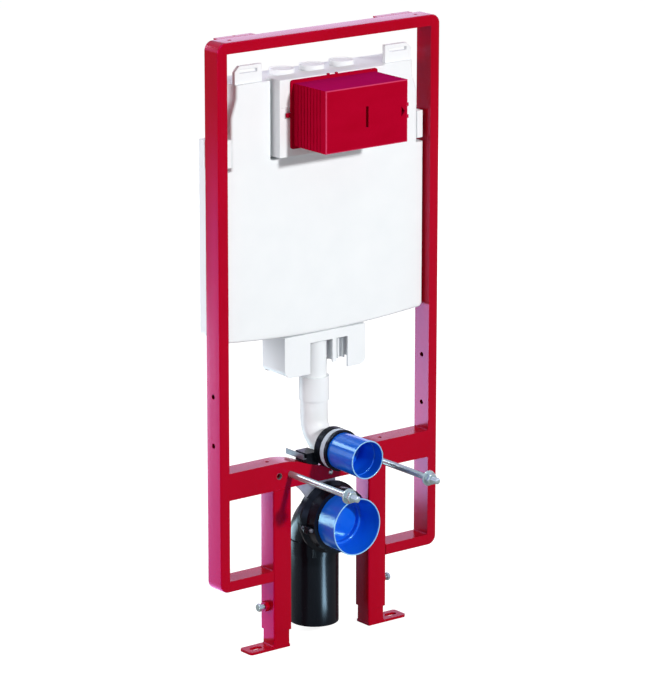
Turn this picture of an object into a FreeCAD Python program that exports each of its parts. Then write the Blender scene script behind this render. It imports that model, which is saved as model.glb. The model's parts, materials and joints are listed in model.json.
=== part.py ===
"""Installation frame for a wall hung toilet, with its cistern, flush bend and waste bend.

Millimetres. +Z is up, +X is to the right seen from the room and the room is towards -Y. The origin lies on the
floor, midway between the two feet and at half the depth of the frame's tubes. Each driving dimension is a cell
of the spreadsheet, and every feature of every body is bound to those cells.
"""
import FreeCAD
import Part
import Sketcher
import math
import os

LEFT = -1
RIGHT = 1
SIDE_NAMES = {LEFT: "left", RIGHT: "right"}
TOUCH = 1e-4
FULL_TURN = 360.0
HEX_CORNERS = 6

DRIVING_SIZES = [
    ("frame_width", 490.0, "outside width of the red frame"),
    ("frame_top", 1120.0, "floor to the top of the frame"),
    ("frame_bottom", 130.0, "floor to the underside of the bottom rails"),
    ("tube_face", 20.0, "width of a frame tube seen from the front"),
    ("tube_depth", 40.0, "depth of a frame tube from front to back"),
    ("tube_wall", 2.0, "wall of every frame tube"),
    ("tube_edge_radius", 2.0, "rounding along the tubes' outer edges"),
    ("frame_corner_radius", 17.0, "outer corner of the frame seen from the front"),
    ("inner_corner_share", 0.85, "same corner inside the tube, as a share of the width there"),
    ("side_hole_diameter", 9.0, "wall fixing hole through an upright"),
    ("side_hole_rise", 50.0, "top of the cross rail to the lower side hole"),
    ("side_hole_distance", 90.0, "lower side hole to the upper one"),
    ("top_hole_diameter", 7.0, "hole in the top of the top rail"),
    ("top_hole_inset", 20.0, "top hole to the end of the top rail"),
    ("bracket_length", 80.0, "wall bracket along the top rail"),
    ("bracket_inset", 10.0, "wall bracket to the end of the top rail"),
    ("bracket_reach", 13.0, "wall bracket behind the top rail"),
    ("bracket_drop", 20.0, "wall bracket's upright leg"),
    ("bracket_sheet", 3.0, "thickness of the wall bracket"),
    ("bracket_hole_diameter", 5.0, "hole in the wall bracket"),
    ("rail_height", 50.0, "height of the cross rail, which has the studs at its middle"),
    ("dip_half_width", 115.0, "middle of the cross rail to the start of its dip"),
    ("dip_depth", 22.0, "depth of the dip under the flush bend"),
    ("rail_top_hole_diameter", 8.0, "hole in the top of the cross rail"),
    ("rail_top_hole_offset", 128.0, "middle to a hole in the top of the cross rail"),
    ("stud_height", 325.0, "floor to the pan's fixing studs"),
    ("stud_distance", 180.0, "distance between the studs"),
    ("spare_distance", 230.0, "distance between the spare stud sleeves"),
    ("stud_diameter", 11.8, "threaded rod"),
    ("stud_reach", 195.0, "rod in front of the cross rail"),
    ("stud_tail", 12.0, "rod behind the cross rail"),
    ("stud_chamfer", 1.5, "chamfer on the rod's ends"),
    ("sleeve_bore", 12.0, "bore of a stud sleeve"),
    ("sleeve_wall", 2.2, "wall of a stud sleeve"),
    ("sleeve_tail", 3.0, "sleeve behind the cross rail"),
    ("washer_setback", 167.0, "front of the cross rail to the back of a stud washer"),
    ("washer_diameter", 28.0, "stud washer"),
    ("washer_thickness", 3.0, "stud washer"),
    ("nut_width", 19.0, "stud nut across its flats"),
    ("nut_thickness", 10.0, "stud nut"),
    ("thread_gap", 0.1, "radial gap round a rod in a nut or washer"),
    ("rail_screw_drop", 13.0, "studs' height to the screw in the middle of the cross rail"),
    ("rail_screw_head", 9.0, "its head's diameter"),
    ("rail_screw_head_height", 3.0, "its head in front of the rail"),
    ("rail_screw_shank", 4.0, "its shank's diameter"),
    ("rail_screw_length", 8.0, "its shank in the rail"),
    ("leg_distance", 216.0, "distance between the legs' middles"),
    ("leg_size", 40.0, "outer leg tube"),
    ("leg_wall", 2.0, "wall of the outer leg tube"),
    ("leg_bottom", 33.0, "floor to the lower end of the outer leg"),
    ("leg_corner_radius", 3.0, "corner of the leg tubes"),
    ("leg_gap", 0.5, "gap between the outer and the inner leg"),
    ("inner_leg_wall", 2.5, "wall of the inner leg tube"),
    ("inner_leg_room", 55.0, "upper end of the inner leg to the cross rail"),
    ("foot_length", 90.0, "foot plate across the frame"),
    ("foot_depth", 36.0, "foot plate from front to back"),
    ("foot_thickness", 5.0, "foot plate"),
    ("foot_clip", 4.0, "clipped outer corners of the foot plate"),
    ("slot_length", 25.0, "floor bolt slot"),
    ("slot_width", 12.0, "floor bolt slot"),
    ("slot_margin", 11.0, "end of the foot plate to the slot"),
    ("clamp_height", 80.0, "floor to the leg's clamp screw"),
    ("clamp_nut_width", 17.0, "welded nut across its flats"),
    ("clamp_nut_thickness", 9.0, "welded nut"),
    ("clamp_screw_diameter", 8.0, "clamp screw"),
    ("clamp_head_width", 13.0, "clamp screw's head across its flats"),
    ("clamp_head_height", 5.5, "clamp screw's head"),
    ("clamp_head_standoff", 7.0, "head of the clamp screw to the nut"),
    ("clamp_tip_gap", 0.3, "clamp screw's tip to the inner leg"),
    ("seat_gap", 0.3, "gap between plastic pieces that seat on each other"),
    ("tank_front", -6.0, "front face of the cistern, measured along Y"),
    ("tank_depth", 80.0, "cistern from front to back"),
    ("tank_rise", 212.0, "flush inlet to the lowest point of the cistern"),
    ("tank_drop", 80.0, "top of the frame to the cistern's top"),
    ("shoulder_drop", 151.0, "cistern's top to the top of its wide part"),
    ("tank_sag", 10.0, "rise of the cistern's curved bottom to its corners"),
    ("tank_side_gap", 4.0, "cistern to the uprights"),
    ("tank_corner_radius", 10.0, "lower corners of the cistern"),
    ("tank_edge_radius", 5.0, "rounding of the cistern's edges"),
    ("tank_wall", 4.0, "wall of the hollow cistern"),
    ("tank_step", 15.0, "cistern's narrower upper part at each side"),
    ("cheek_drop", 24.0, "cistern's top to the top of the cheek's slope"),
    ("cheek_height", 32.0, "slope of the cheek up and down"),
    ("cheek_step", 11.0, "slope of the cheek across"),
    ("recess_depth", 18.0, "recess of the cistern behind the service neck"),
    ("recess_gap", 5.0, "recess round the service neck"),
    ("lug_width", 59.0, "cistern lug"),
    ("lug_height", 32.0, "cistern lug above the cistern"),
    ("lug_thickness", 8.0, "cistern lug"),
    ("lug_chamfer", 10.0, "outer upper corner of the lug"),
    ("lug_slot_length", 38.0, "slot in the lug"),
    ("lug_slot_height", 6.0, "slot in the lug"),
    ("lug_slot_drop", 7.0, "top of the lug to its slot"),
    ("port_distance", 66.0, "distance between the capped inlet ports"),
    ("port_diameter", 45.0, "cap on an inlet port"),
    ("port_height", 10.0, "cap on an inlet port"),
    ("port_rim", 3.0, "raised rim of the cap"),
    ("port_dish", 1.5, "depth of the cap's dished top"),
    ("port_setback", 42.0, "front of the cistern to the ports' middles"),
    ("clip_rise", 7.0, "cistern's wide part to the cistern clip"),
    ("clip_height", 50.0, "cistern clip"),
    ("clip_gap", 6.0, "cistern clip to the upright's inner side"),
    ("clip_hook", 18.0, "clip's hook behind the upright"),
    ("box_width", 180.0, "protection box"),
    ("box_height", 111.0, "protection box"),
    ("box_drop", 60.0, "cistern's top to the middle of the protection box"),
    ("box_reach", 92.0, "protection box in front of its flange"),
    ("box_wall", 2.5, "wall of the protection box"),
    ("flange_lip", 5.5, "flange of the protection box round the box"),
    ("flange_thickness", 4.0, "flange of the protection box"),
    ("flange_radius", 5.0, "corners of the flange"),
    ("groove_pitch", 9.0, "distance between the trim grooves"),
    ("groove_start", 12.0, "flange to the first trim groove"),
    ("groove_width", 1.6, "trim groove"),
    ("groove_depth", 1.2, "trim groove"),
    ("groove_count", 8, "trim grooves along each side"),
    ("box_edge_radius", 1.5, "rounding of the box's front edges"),
    ("window_height", 37.0, "upright slot in the box's front"),
    ("window_width", 5.5, "upright slot in the box's front"),
    ("well_depth", 8.0, "blind openings in the box's front"),
    ("marker_height", 18.0, "arrow shaped opening in the box's front"),
    ("marker_width", 8.0, "arrow shaped opening in the box's front"),
    ("marker_margin", 6.0, "that opening's point to the side of the box"),
    ("catch_reach", 3.5, "small catches on the right side of the box"),
    ("catch_height", 6.0, "small catches on the right side of the box"),
    ("catch_depth", 5.0, "small catches, from front to back"),
    ("catch_setback", 2.0, "front of the box to the small catches"),
    ("catch_distance", 21.0, "distance between the small catches"),
    ("lip_tab_width", 4.0, "small tabs on the top of the flange"),
    ("lip_tab_height", 3.0, "small tabs on the top of the flange"),
    ("lip_tab_offset", 4.0, "middle of the box to the middle between the small tabs"),
    ("lip_tab_distance", 18.0, "distance between the small tabs"),
    ("tab_length", 9.0, "flange tabs beyond the flange"),
    ("tab_height", 8.0, "flange tabs"),
    ("neck_margin", 22.0, "service neck's outside round the flange"),
    ("neck_wall", 6.0, "wall of the service neck"),
    ("neck_floor", 6.0, "back wall of the service neck"),
    ("neck_plate", 3.0, "front plate of the service neck"),
    ("neck_reach", 21.0, "service neck in front of the cistern"),
    ("neck_rise", 3.0, "top of the service neck above the cistern"),
    ("neck_height", 138.0, "service neck"),
    ("seat_wall", 5.0, "wall of the seat"),
    ("seat_inset", 3.0, "seat inside the edge of the flange"),
    ("latch_height", 26.0, "latch recess in the neck's front plate, round a flange tab"),
    ("latch_margin", 3.0, "side of the neck to the latch recess"),
    ("latch_depth", 2.0, "latch recess in the neck's front plate"),
    ("skirt_width", 182.0, "outlet skirt under the cistern"),
    ("skirt_depth", 67.0, "outlet skirt from front to back"),
    ("skirt_height", 75.0, "outlet skirt under the cistern"),
    ("skirt_setback", 1.0, "skirt behind the front of the cistern"),
    ("skirt_wall", 4.0, "wall of the outlet skirt"),
    ("skirt_corner_radius", 14.0, "lower corners of the skirt"),
    ("notch_left", 34.0, "middle to the left side of the opening in the skirt's front"),
    ("notch_right", 16.0, "middle to the right side of that opening"),
    ("notch_height", 57.0, "openings in the skirt's front, from its underside"),
    ("grille_near", 25.0, "middle to the near side of the ribbed opening beside it"),
    ("grille_far", 50.0, "middle to the far side of the ribbed opening"),
    ("grille_lift", 14.0, "bar between the openings, above the skirt's underside"),
    ("grille_setback", 22.0, "front of the skirt to the ribbed wall behind the opening"),
    ("grille_wall", 3.0, "ribbed wall"),
    ("grille_rib_width", 3.0, "rib on that wall"),
    ("grille_rib_depth", 8.0, "rib on that wall"),
    ("grille_rib_count", 3, "ribs on that wall"),
    ("pipe_setback", 49.0, "front of the frame to the middle of the upright pipes"),
    ("flush_rise", 35.0, "studs' height to the middle of the flush inlet"),
    ("flush_diameter", 50.0, "flush pipe"),
    ("flush_wall", 1.8, "wall of the flush pipe"),
    ("flush_bend_radius", 45.0, "bend of the flush pipe"),
    ("flush_front", 60.0, "end of the flush pipe, in front of the pipes' plane Y = 0"),
    ("flush_socket_drop", 14.0, "underside of the skirt to the flush pipe's socket"),
    ("flush_socket_length", 45.0, "socket of the flush pipe"),
    ("flush_socket_wall", 2.5, "socket outside the flush pipe"),
    ("spigot_insert", 20.0, "cistern's outlet spigot in the socket"),
    ("spigot_gap", 0.3, "gap round the outlet spigot"),
    ("ring_gap", 0.3, "gap between the pipes and what is pushed over them"),
    ("clamp_ring_diameter", 76.0, "black clamp ring round the flush pipe"),
    ("clamp_ring_width", 15.0, "clamp ring along the pipe"),
    ("clamp_ring_gap", 0.5, "clamp ring to the cross rail"),
    ("clamp_rib_count", 5, "ribs round the clamp ring"),
    ("clamp_rib_depth", 1.2, "grooves between those ribs"),
    ("clamp_foot_near", 28.0, "middle to the near side of the clamp's foot"),
    ("clamp_foot_far", 55.0, "middle to the far side of the clamp's foot"),
    ("clamp_foot_drop", 4.0, "middle of the flush inlet to the top of the clamp's foot"),
    ("clamp_foot_tail", 12.0, "clamp's foot behind the middle of the rail"),
    ("strip_far", 62.0, "middle to the far side of the clamp strip"),
    ("strip_sheet", 2.0, "clamp strip's thickness"),
    ("strip_height", 10.0, "clamp strip's upright side"),
    ("strip_tail", 32.0, "clamp strip behind the middle of the rail"),
    ("seal_ring_diameter", 74.0, "light ring in front of the clamp"),
    ("seal_ring_width", 12.0, "light ring in front of the clamp"),
    ("lip_ring_diameter", 76.0, "black ring behind the small cap"),
    ("lip_ring_width", 6.0, "black ring behind the small cap"),
    ("flush_cap_mouth", 70.0, "mouth of the small blue cap"),
    ("flush_cap_back", 67.0, "back of the small blue cap"),
    ("flush_cap_length", 74.0, "small blue cap"),
    ("cap_wall", 2.0, "wall of the blue caps"),
    ("cap_floor", 3.0, "floor of the blue caps"),
    ("cap_step_depth", 22.0, "mouth of the small blue cap to the step inside it"),
    ("cap_step", 1.5, "step inside a blue cap"),
    ("plug_length", 10.0, "plug of the big blue cap in the waste pipe"),
    ("plug_step", 4.0, "step round the plug inside the big blue cap"),
    ("dimple_drop", 12.0, "middle of the big blue cap to the dimple in its floor"),
    ("cap_dimple", 8.0, "dimple in the floor of a blue cap"),
    ("cap_dimple_depth", 1.2, "dimple in the floor of a blue cap"),
    ("waste_drop", 97.0, "studs' height to the middle of the waste socket"),
    ("waste_diameter", 90.0, "waste pipe"),
    ("waste_wall", 3.5, "wall of the waste pipe"),
    ("waste_bend_radius", 50.0, "bend of the waste pipe"),
    ("waste_bottom", 20.0, "floor to the open end of the waste pipe"),
    ("waste_front", 50.0, "end of the waste pipe, in front of the pipes' plane Y = 0"),
    ("collar_diameter", 120.0, "collar of the waste socket"),
    ("collar_back", 15.0, "back of the collar, in front of Y = 0"),
    ("collar_width", 35.0, "collar along the waste socket"),
    ("collar_flange_diameter", 134.0, "flange at the back of the collar"),
    ("collar_flange_width", 5.0, "flange at the back of the collar"),
    ("collar_shoulder", 8.0, "sloped shoulder between the collar and its flange"),
    ("hub_diameter", 112.0, "hub behind the collar"),
    ("hub_width", 21.0, "hub along the waste socket"),
    ("gusset_width", 64.0, "gusset under the collar"),
    ("gusset_drop", 75.0, "middle of the waste socket to the underside of the gusset"),
    ("gusset_height", 40.0, "gusset under the collar"),
    ("sleeve_step", 2.5, "thicker upper stretch of the waste pipe, from the gusset's underside to the bend"),
    ("gusset_reach", 11.0, "gusset in front of Y = 0"),
    ("hanger_sheet", 3.0, "hanger plate over the hub"),
    ("hanger_far", 77.0, "middle to the far end of the hanger under the cross rail"),
    ("hanger_near", 15.0, "middle to the near end of the hanger under the cross rail"),
    ("hanger_foot", 46.0, "middle to the far end of the hanger on the hub"),
    ("hanger_flare", 80.0, "curved side of the hanger"),
    ("waste_cap_mouth", 105.0, "mouth of the big blue cap"),
    ("waste_cap_back", 103.0, "back of the big blue cap"),
    ("waste_cap_length", 48.0, "big blue cap"),
]


class Size:
    """A length, as a number and as the spreadsheet expression that gives it."""

    def __init__(self, value, text):
        self.value = value
        self.text = text

    def __add__(self, other):
        other = as_size(other)
        return Size(self.value + other.value, f"({self.text} + {other.text})")

    def __radd__(self, other):
        return as_size(other) + self

    def __sub__(self, other):
        other = as_size(other)
        return Size(self.value - other.value, f"({self.text} - {other.text})")

    def __rsub__(self, other):
        return as_size(other) - self

    def __mul__(self, other):
        other = as_size(other)
        return Size(self.value * other.value, f"({self.text} * {other.text})")

    def __rmul__(self, other):
        return as_size(other) * self

    def __truediv__(self, other):
        other = as_size(other)
        return Size(self.value / other.value, f"({self.text} / {other.text})")

    def __neg__(self):
        return Size(-self.value, f"(-1 * {self.text})")

    def root(self):
        return Size(math.sqrt(self.value), f"sqrt({self.text})")


def as_size(number):
    """A plain number as a size."""
    if isinstance(number, Size):
        return number
    return Size(float(number), f"({float(number)!r})")


class SizeSheet:
    """The spreadsheet of driving dimensions, read as attributes."""

    def __init__(self, document, rows):
        sheet = document.addObject("Spreadsheet::Sheet", "Sizes")
        for row, (name, value, meaning) in enumerate(rows, start=1):
            sheet.set(f"A{row}", meaning)
            sheet.set(f"B{row}", str(value))
            sheet.setAlias(f"B{row}", name)
            setattr(self, name, Size(float(value), f"Sizes.{name}"))


doc = FreeCAD.newDocument("wall_hung_toilet_frame")
size = SizeSheet(doc, DRIVING_SIZES)
doc.recompute()
ZERO = as_size(0)
pieces = []

# Places that several pieces share

half_width = size.frame_width / 2
upright_inner = half_width - size.tube_face
frame_back = size.tube_depth / 2
frame_front = -frame_back
rail_bottom = size.stud_height - size.rail_height / 2
rail_top = rail_bottom + size.rail_height
dip_bottom = rail_top - size.dip_depth
dip_radius = (size.dip_half_width * size.dip_half_width + size.dip_depth * size.dip_depth) / (4 * size.dip_depth)
leg_middle = size.leg_distance / 2
leg_inner_face = leg_middle - size.leg_size / 2
leg_outer_face = leg_middle + size.leg_size / 2
inner_leg_size = size.leg_size - 2 * size.leg_wall - 2 * size.leg_gap
foot_outer = leg_inner_face + size.foot_length
slot_middle = foot_outer - size.slot_margin - size.slot_length / 2
flush_height = size.stud_height + size.flush_rise
waste_height = size.stud_height - size.waste_drop
tank_bottom = flush_height + size.tank_rise
tank_top = size.frame_top - size.tank_drop
tank_shoulder = tank_top - size.shoulder_drop
tank_back = size.tank_front + size.tank_depth
tank_half = upright_inner - size.tank_side_gap
upper_half = tank_half - size.tank_step
cheek_half = upper_half - size.cheek_step
flange_half_width = size.box_width / 2 + size.flange_lip
flange_half_height = size.box_height / 2 + size.flange_lip
box_middle = tank_top - size.box_drop
neck_half = flange_half_width + size.neck_margin
neck_top = tank_top + size.neck_rise
neck_bottom = neck_top - size.neck_height
neck_front = size.tank_front - size.neck_reach
neck_back = size.tank_front + size.recess_depth
recess_half = neck_half + size.recess_gap
flange_front = neck_front - size.flange_thickness
box_front = flange_front - size.box_reach
pipe_y = frame_front + size.pipe_setback
skirt_front = size.tank_front + size.skirt_setback
skirt_top = tank_bottom - size.seat_gap
skirt_bottom = tank_bottom - size.skirt_height
flush_socket_top = skirt_bottom - size.flush_socket_drop
flush_radius = size.flush_diameter / 2
waste_radius = size.waste_diameter / 2
spigot_radius = flush_radius - size.flush_wall - size.spigot_gap
clamp_foot_top = flush_height - size.clamp_foot_drop
clamp_ring_back = frame_front - size.clamp_ring_gap
clamp_ring_front = clamp_ring_back - size.clamp_ring_width
seal_ring_front = clamp_ring_front - size.seal_ring_width
lip_ring_front = seal_ring_front - size.lip_ring_width
hub_back = size.hub_width - size.collar_back
collar_front = -size.collar_back - size.collar_width


# Sketch loops

def polygon(points):
    """A closed loop; a point (u, v, radius, bend) starts an arc, +1 bending left and -1 bending right."""

    def draw(sketch):
        ends = []
        for number, start in enumerate(points):
            goal = points[(number + 1) % len(points)]
            p = FreeCAD.Vector(start[0].value, start[1].value, 0)
            q = FreeCAD.Vector(goal[0].value, goal[1].value, 0)
            if len(start) == 2:
                side = sketch.addGeometry(Part.LineSegment(p, q), False)
                ends.append((side, 1, 2))
                continue
            radius, bend = start[2], start[3]
            side = sketch.addGeometry(arc_between(p, q, radius.value, bend), False)
            bound(sketch, "Radius", (side,), radius)
            ends.append((side, 1, 2) if bend > 0 else (side, 2, 1))
        for number, (side, begin, end) in enumerate(ends):
            following, following_begin, _ = ends[(number + 1) % len(ends)]
            sketch.addConstraint(Sketcher.Constraint("Coincident", side, end, following, following_begin))
            bound(sketch, "DistanceX", (-1, 1, side, begin), points[number][0])
            bound(sketch, "DistanceY", (-1, 1, side, begin), points[number][1])

    return draw


def circle(u, v, radius):
    """A full circle round a point."""

    def draw(sketch):
        middle = FreeCAD.Vector(u.value, v.value, 0)
        ring = sketch.addGeometry(Part.Circle(middle, FreeCAD.Vector(0, 0, 1), radius.value), False)
        bound(sketch, "DistanceX", (-1, 1, ring, 3), u)
        bound(sketch, "DistanceY", (-1, 1, ring, 3), v)
        bound(sketch, "Radius", (ring,), radius)

    return draw


def path(points):
    """An open run of lines and arcs, for a pipe to follow."""

    def draw(sketch):
        last = None
        for start, goal in zip(points, points[1:]):
            p = FreeCAD.Vector(start[0].value, start[1].value, 0)
            q = FreeCAD.Vector(goal[0].value, goal[1].value, 0)
            if len(start) == 2:
                side = sketch.addGeometry(Part.LineSegment(p, q), False)
                begin, end = 1, 2
            else:
                side = sketch.addGeometry(arc_between(p, q, start[2].value, start[3]), False)
                bound(sketch, "Radius", (side,), start[2])
                begin, end = (1, 2) if start[3] > 0 else (2, 1)
            if last is not None:
                sketch.addConstraint(Sketcher.Constraint("Coincident", *last, side, begin))
            bound(sketch, "DistanceX", (-1, 1, side, begin), start[0])
            bound(sketch, "DistanceY", (-1, 1, side, begin), start[1])
            last = (side, end)
        bound(sketch, "DistanceX", (-1, 1, *last), points[-1][0])
        bound(sketch, "DistanceY", (-1, 1, *last), points[-1][1])

    return draw


def arc_between(p, q, radius, bend):
    """The arc from p to q, always drawn anticlockwise."""
    chord = q - p
    height = math.sqrt(max(radius ** 2 - chord.Length ** 2 / 4, 0.0))
    middle = (p + q) / 2 + FreeCAD.Vector(-chord.y, chord.x, 0).normalize() * height * bend
    first, last = (p, q) if bend > 0 else (q, p)
    angles = [math.atan2(point.y - middle.y, point.x - middle.x) for point in (first, last)]
    return Part.ArcOfCircle(Part.Circle(middle, FreeCAD.Vector(0, 0, 1), radius), *angles)


def bound(sketch, kind, places, value):
    """A dimension of a sketch that follows the spreadsheet."""
    number = sketch.addConstraint(Sketcher.Constraint(kind, *places, value.value))
    sketch.setExpression(f"Constraints[{number}]", value.text)


def rectangle(left, right, bottom, top):
    """A closed rectangle."""
    return polygon([(left, bottom), (right, bottom), (right, top), (left, top)])


def rounded(left, right, bottom, top, radius):
    """A closed rectangle with four round corners."""
    return polygon([
        (left + radius, bottom), (right - radius, bottom, radius, 1),
        (right, bottom + radius), (right, top - radius, radius, 1),
        (right - radius, top), (left + radius, top, radius, 1),
        (left, top - radius), (left, bottom + radius, radius, 1),
    ])


def obround(left, right, middle, radius):
    """A slot with round ends, between its two outer ends."""
    return polygon([
        (left + radius, middle - radius), (right - radius, middle - radius, radius, 1),
        (right, middle, radius, 1), (right - radius, middle + radius),
        (left + radius, middle + radius, radius, 1), (left, middle, radius, 1),
    ])


def hexagon(u, v, width):
    """A hexagon by its width across flats, with two flats level."""
    corner = width / math.sqrt(3)
    turns = [2 * math.pi * number / HEX_CORNERS for number in range(HEX_CORNERS)]
    return polygon([(u + corner * math.cos(turn), v + corner * math.sin(turn)) for turn in turns])


def mirrored(side, points):
    """The points of a right hand outline for either side of the frame."""
    return [(side * p[0], p[1]) if len(p) == 2 else (side * p[0], p[1], p[2], side * p[3]) for p in points]


def span(side, near, far):
    """The low and the high X of what lies between two distances from the middle."""
    return (near, far) if side == RIGHT else (-far, -near)


class Piece:
    """A body of the document, with short calls for the features it is made of."""

    def __init__(self, name):
        self.body = doc.addObject("PartDesign::Body", name)
        self.body.Label = name
        pieces.append(self.body)

    def origin(self, role):
        return next(feature for feature in self.body.Origin.OriginFeatures if feature.Role == role)

    def sketch(self, plane, level, loops, across=ZERO, up=ZERO):
        """Loops on one of the body's own planes, at a level along the plane's normal."""
        sketch = self.body.newObject("Sketcher::SketchObject", "Sketch")
        sketch.AttachmentSupport = [(self.origin(plane), "")]
        sketch.MapMode = "FlatFace"
        for axis, shift in zip("xyz", (across, up, level)):
            sketch.setExpression(f"AttachmentOffset.Base.{axis}", shift.text)
        for loop in loops:
            loop(sketch)
        return sketch

    def pad(self, plane, low, high, *loops):
        """Adds what the loops enclose, from low to high along the plane's axis; XZ looks to the front."""
        level = -high if plane == "XZ_Plane" else low
        feature = self.body.newObject("PartDesign::Pad", "Pad")
        feature.Profile = self.sketch(plane, level, loops)
        feature.setExpression("Length", (high - low).text)
        self.body.Tip = feature
        return feature

    def pocket(self, plane, low, high, *loops):
        """Cuts what the loops enclose, from low to high along the plane's axis."""
        level = -low if plane == "XZ_Plane" else high
        feature = self.body.newObject("PartDesign::Pocket", "Pocket")
        feature.Profile = self.sketch(plane, level, loops)
        feature.setExpression("Length", (high - low).text)
        self.body.Tip = feature
        return feature

    def revolve(self, plane, level, axis, points, across=ZERO, up=ZERO, kind="PartDesign::Revolution"):
        """Turns a profile round one of its sketch's own axes."""
        sketch = self.sketch(plane, level, [polygon(points)], across, up)
        feature = self.body.newObject(kind, "Turned")
        feature.Profile = sketch
        feature.ReferenceAxis = (sketch, [axis])
        feature.Angle = FULL_TURN
        self.body.Tip = feature
        return feature

    def pipe(self, kind, section, spine):
        """Carries a section along a spine."""
        feature = self.body.newObject(kind, "Run")
        feature.Profile = section
        feature.Spine = (spine, [])
        self.body.Tip = feature
        return feature

    def repeat(self, feature, axis, pitch, count):
        """Copies of a feature in a row."""
        row = self.body.newObject("PartDesign::LinearPattern", "Row")
        row.Originals = [feature]
        row.Direction = (self.origin(axis), [""])
        row.setExpression("Length", (pitch * (count - 1)).text)
        row.setExpression("Occurrences", count.text)
        self.body.Tip = row
        return row

    def fillet(self, radius, chosen):
        """Rounds the edges that are chosen."""
        doc.recompute()
        base = self.body.Tip
        names = [f"Edge{n}" for n, edge in enumerate(base.Shape.Edges, start=1) if chosen(edge)]
        feature = self.body.newObject("PartDesign::Fillet", "Fillet")
        feature.Base = (base, names)
        feature.setExpression("Radius", radius.text)
        self.body.Tip = feature
        return feature


def lies(edge, x=None, y=None, z=None):
    """Does the whole edge lie at these levels?"""
    box = edge.BoundBox
    found = ((x, box.XMin, box.XMax), (y, box.YMin, box.YMax), (z, box.ZMin, box.ZMax))
    return all(
        level is None or max(abs(low - level.value), abs(high - level.value)) < TOUCH
        for level, low, high in found
    )


# Red painted frame

def add_upright(side):
    """Tube at one side of the frame, closed at both ends, with round outer corners and two side holes."""
    piece = Piece(f"{SIDE_NAMES[side]}_upright")

    def outline(inset, bend):
        low, high = size.frame_bottom + inset, size.frame_top - inset
        near, far = upright_inner + inset, half_width - inset
        return polygon(mirrored(side, [
            (near, low), (far - bend, low, bend, 1), (far, low + bend),
            (far, high - bend, bend, 1), (far - bend, high), (near, high),
        ]))

    piece.pad("XZ_Plane", frame_front, frame_back, outline(ZERO, size.frame_corner_radius))
    piece.fillet(size.tube_edge_radius, lambda edge: (
        (lies(edge, y=frame_front) or lies(edge, y=frame_back)) and not lies(edge, x=side * upright_inner)
    ))
    wall = size.tube_wall
    inside_bend = (size.tube_face - 2 * wall) * size.inner_corner_share
    piece.pocket("XZ_Plane", frame_front + wall, frame_back - wall, outline(wall, inside_bend))
    low, high = span(side, upright_inner - wall, half_width + wall)
    hole_radius = size.side_hole_diameter / 2
    low_hole = rail_top + size.side_hole_rise
    heights = (low_hole, low_hole + size.side_hole_distance)
    piece.pocket("YZ_Plane", low, high, *[circle(ZERO, height, hole_radius) for height in heights])


def tube_section(bottom, top, round_top):
    """Section of a frame tube across X, round along its two outer edges."""
    radius, wall = size.tube_edge_radius, size.tube_wall
    near, far = frame_front, frame_back
    if round_top:
        outside = polygon([
            (near, bottom), (far, bottom), (far, top - radius, radius, 1),
            (far - radius, top), (near + radius, top, radius, 1), (near, top - radius),
        ])
    else:
        outside = polygon([
            (near + radius, bottom), (far - radius, bottom, radius, 1), (far, bottom + radius),
            (far, top), (near, top), (near, bottom + radius, radius, 1),
        ])
    return outside, rectangle(near + wall, far - wall, bottom + wall, top - wall)


def add_top_rail():
    """Tube between the uprights at the top, with a hole near each end of its top face."""
    piece = Piece("top_rail")
    section = tube_section(size.frame_top - size.tube_face, size.frame_top, True)
    piece.pad("YZ_Plane", -upright_inner, upright_inner, *section)
    hole = upright_inner - size.top_hole_inset
    radius = size.top_hole_diameter / 2
    low, high = size.frame_top - 2 * size.tube_wall, size.frame_top + size.tube_wall
    piece.pocket("XY_Plane", low, high, circle(-hole, ZERO, radius), circle(hole, ZERO, radius))


def add_wall_bracket(side):
    """Angle welded behind the top rail, with a hole in its level leg."""
    piece = Piece(f"{SIDE_NAMES[side]}_wall_bracket")
    sheet, top = size.bracket_sheet, size.frame_top
    far = upright_inner - size.bracket_inset
    low, high = span(side, far - size.bracket_length, far)
    piece.pad("YZ_Plane", low, high, polygon([
        (frame_back, top - size.bracket_drop), (frame_back + sheet, top - size.bracket_drop),
        (frame_back + sheet, top - sheet), (frame_back + size.bracket_reach, top - sheet),
        (frame_back + size.bracket_reach, top), (frame_back, top),
    ]))
    middle = (low + high) / 2
    across = frame_back + (size.bracket_reach + sheet) / 2
    piece.pocket("XY_Plane", top - 2 * sheet, top + sheet, circle(middle, across, size.bracket_hole_diameter / 2))


def dip_line(lift):
    """The cross rail's upper edge from right to left: level, down through the dip and level again."""
    bend, half = dip_radius, size.dip_half_width / 2
    top, low = rail_top + lift, dip_bottom + lift
    middle = (top + low) / 2
    return [
        (size.dip_half_width, top, bend, 1), (half, middle, bend, -1), (ZERO, low, bend, -1),
        (-half, middle, bend, 1), (-size.dip_half_width, top),
    ]


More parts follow.
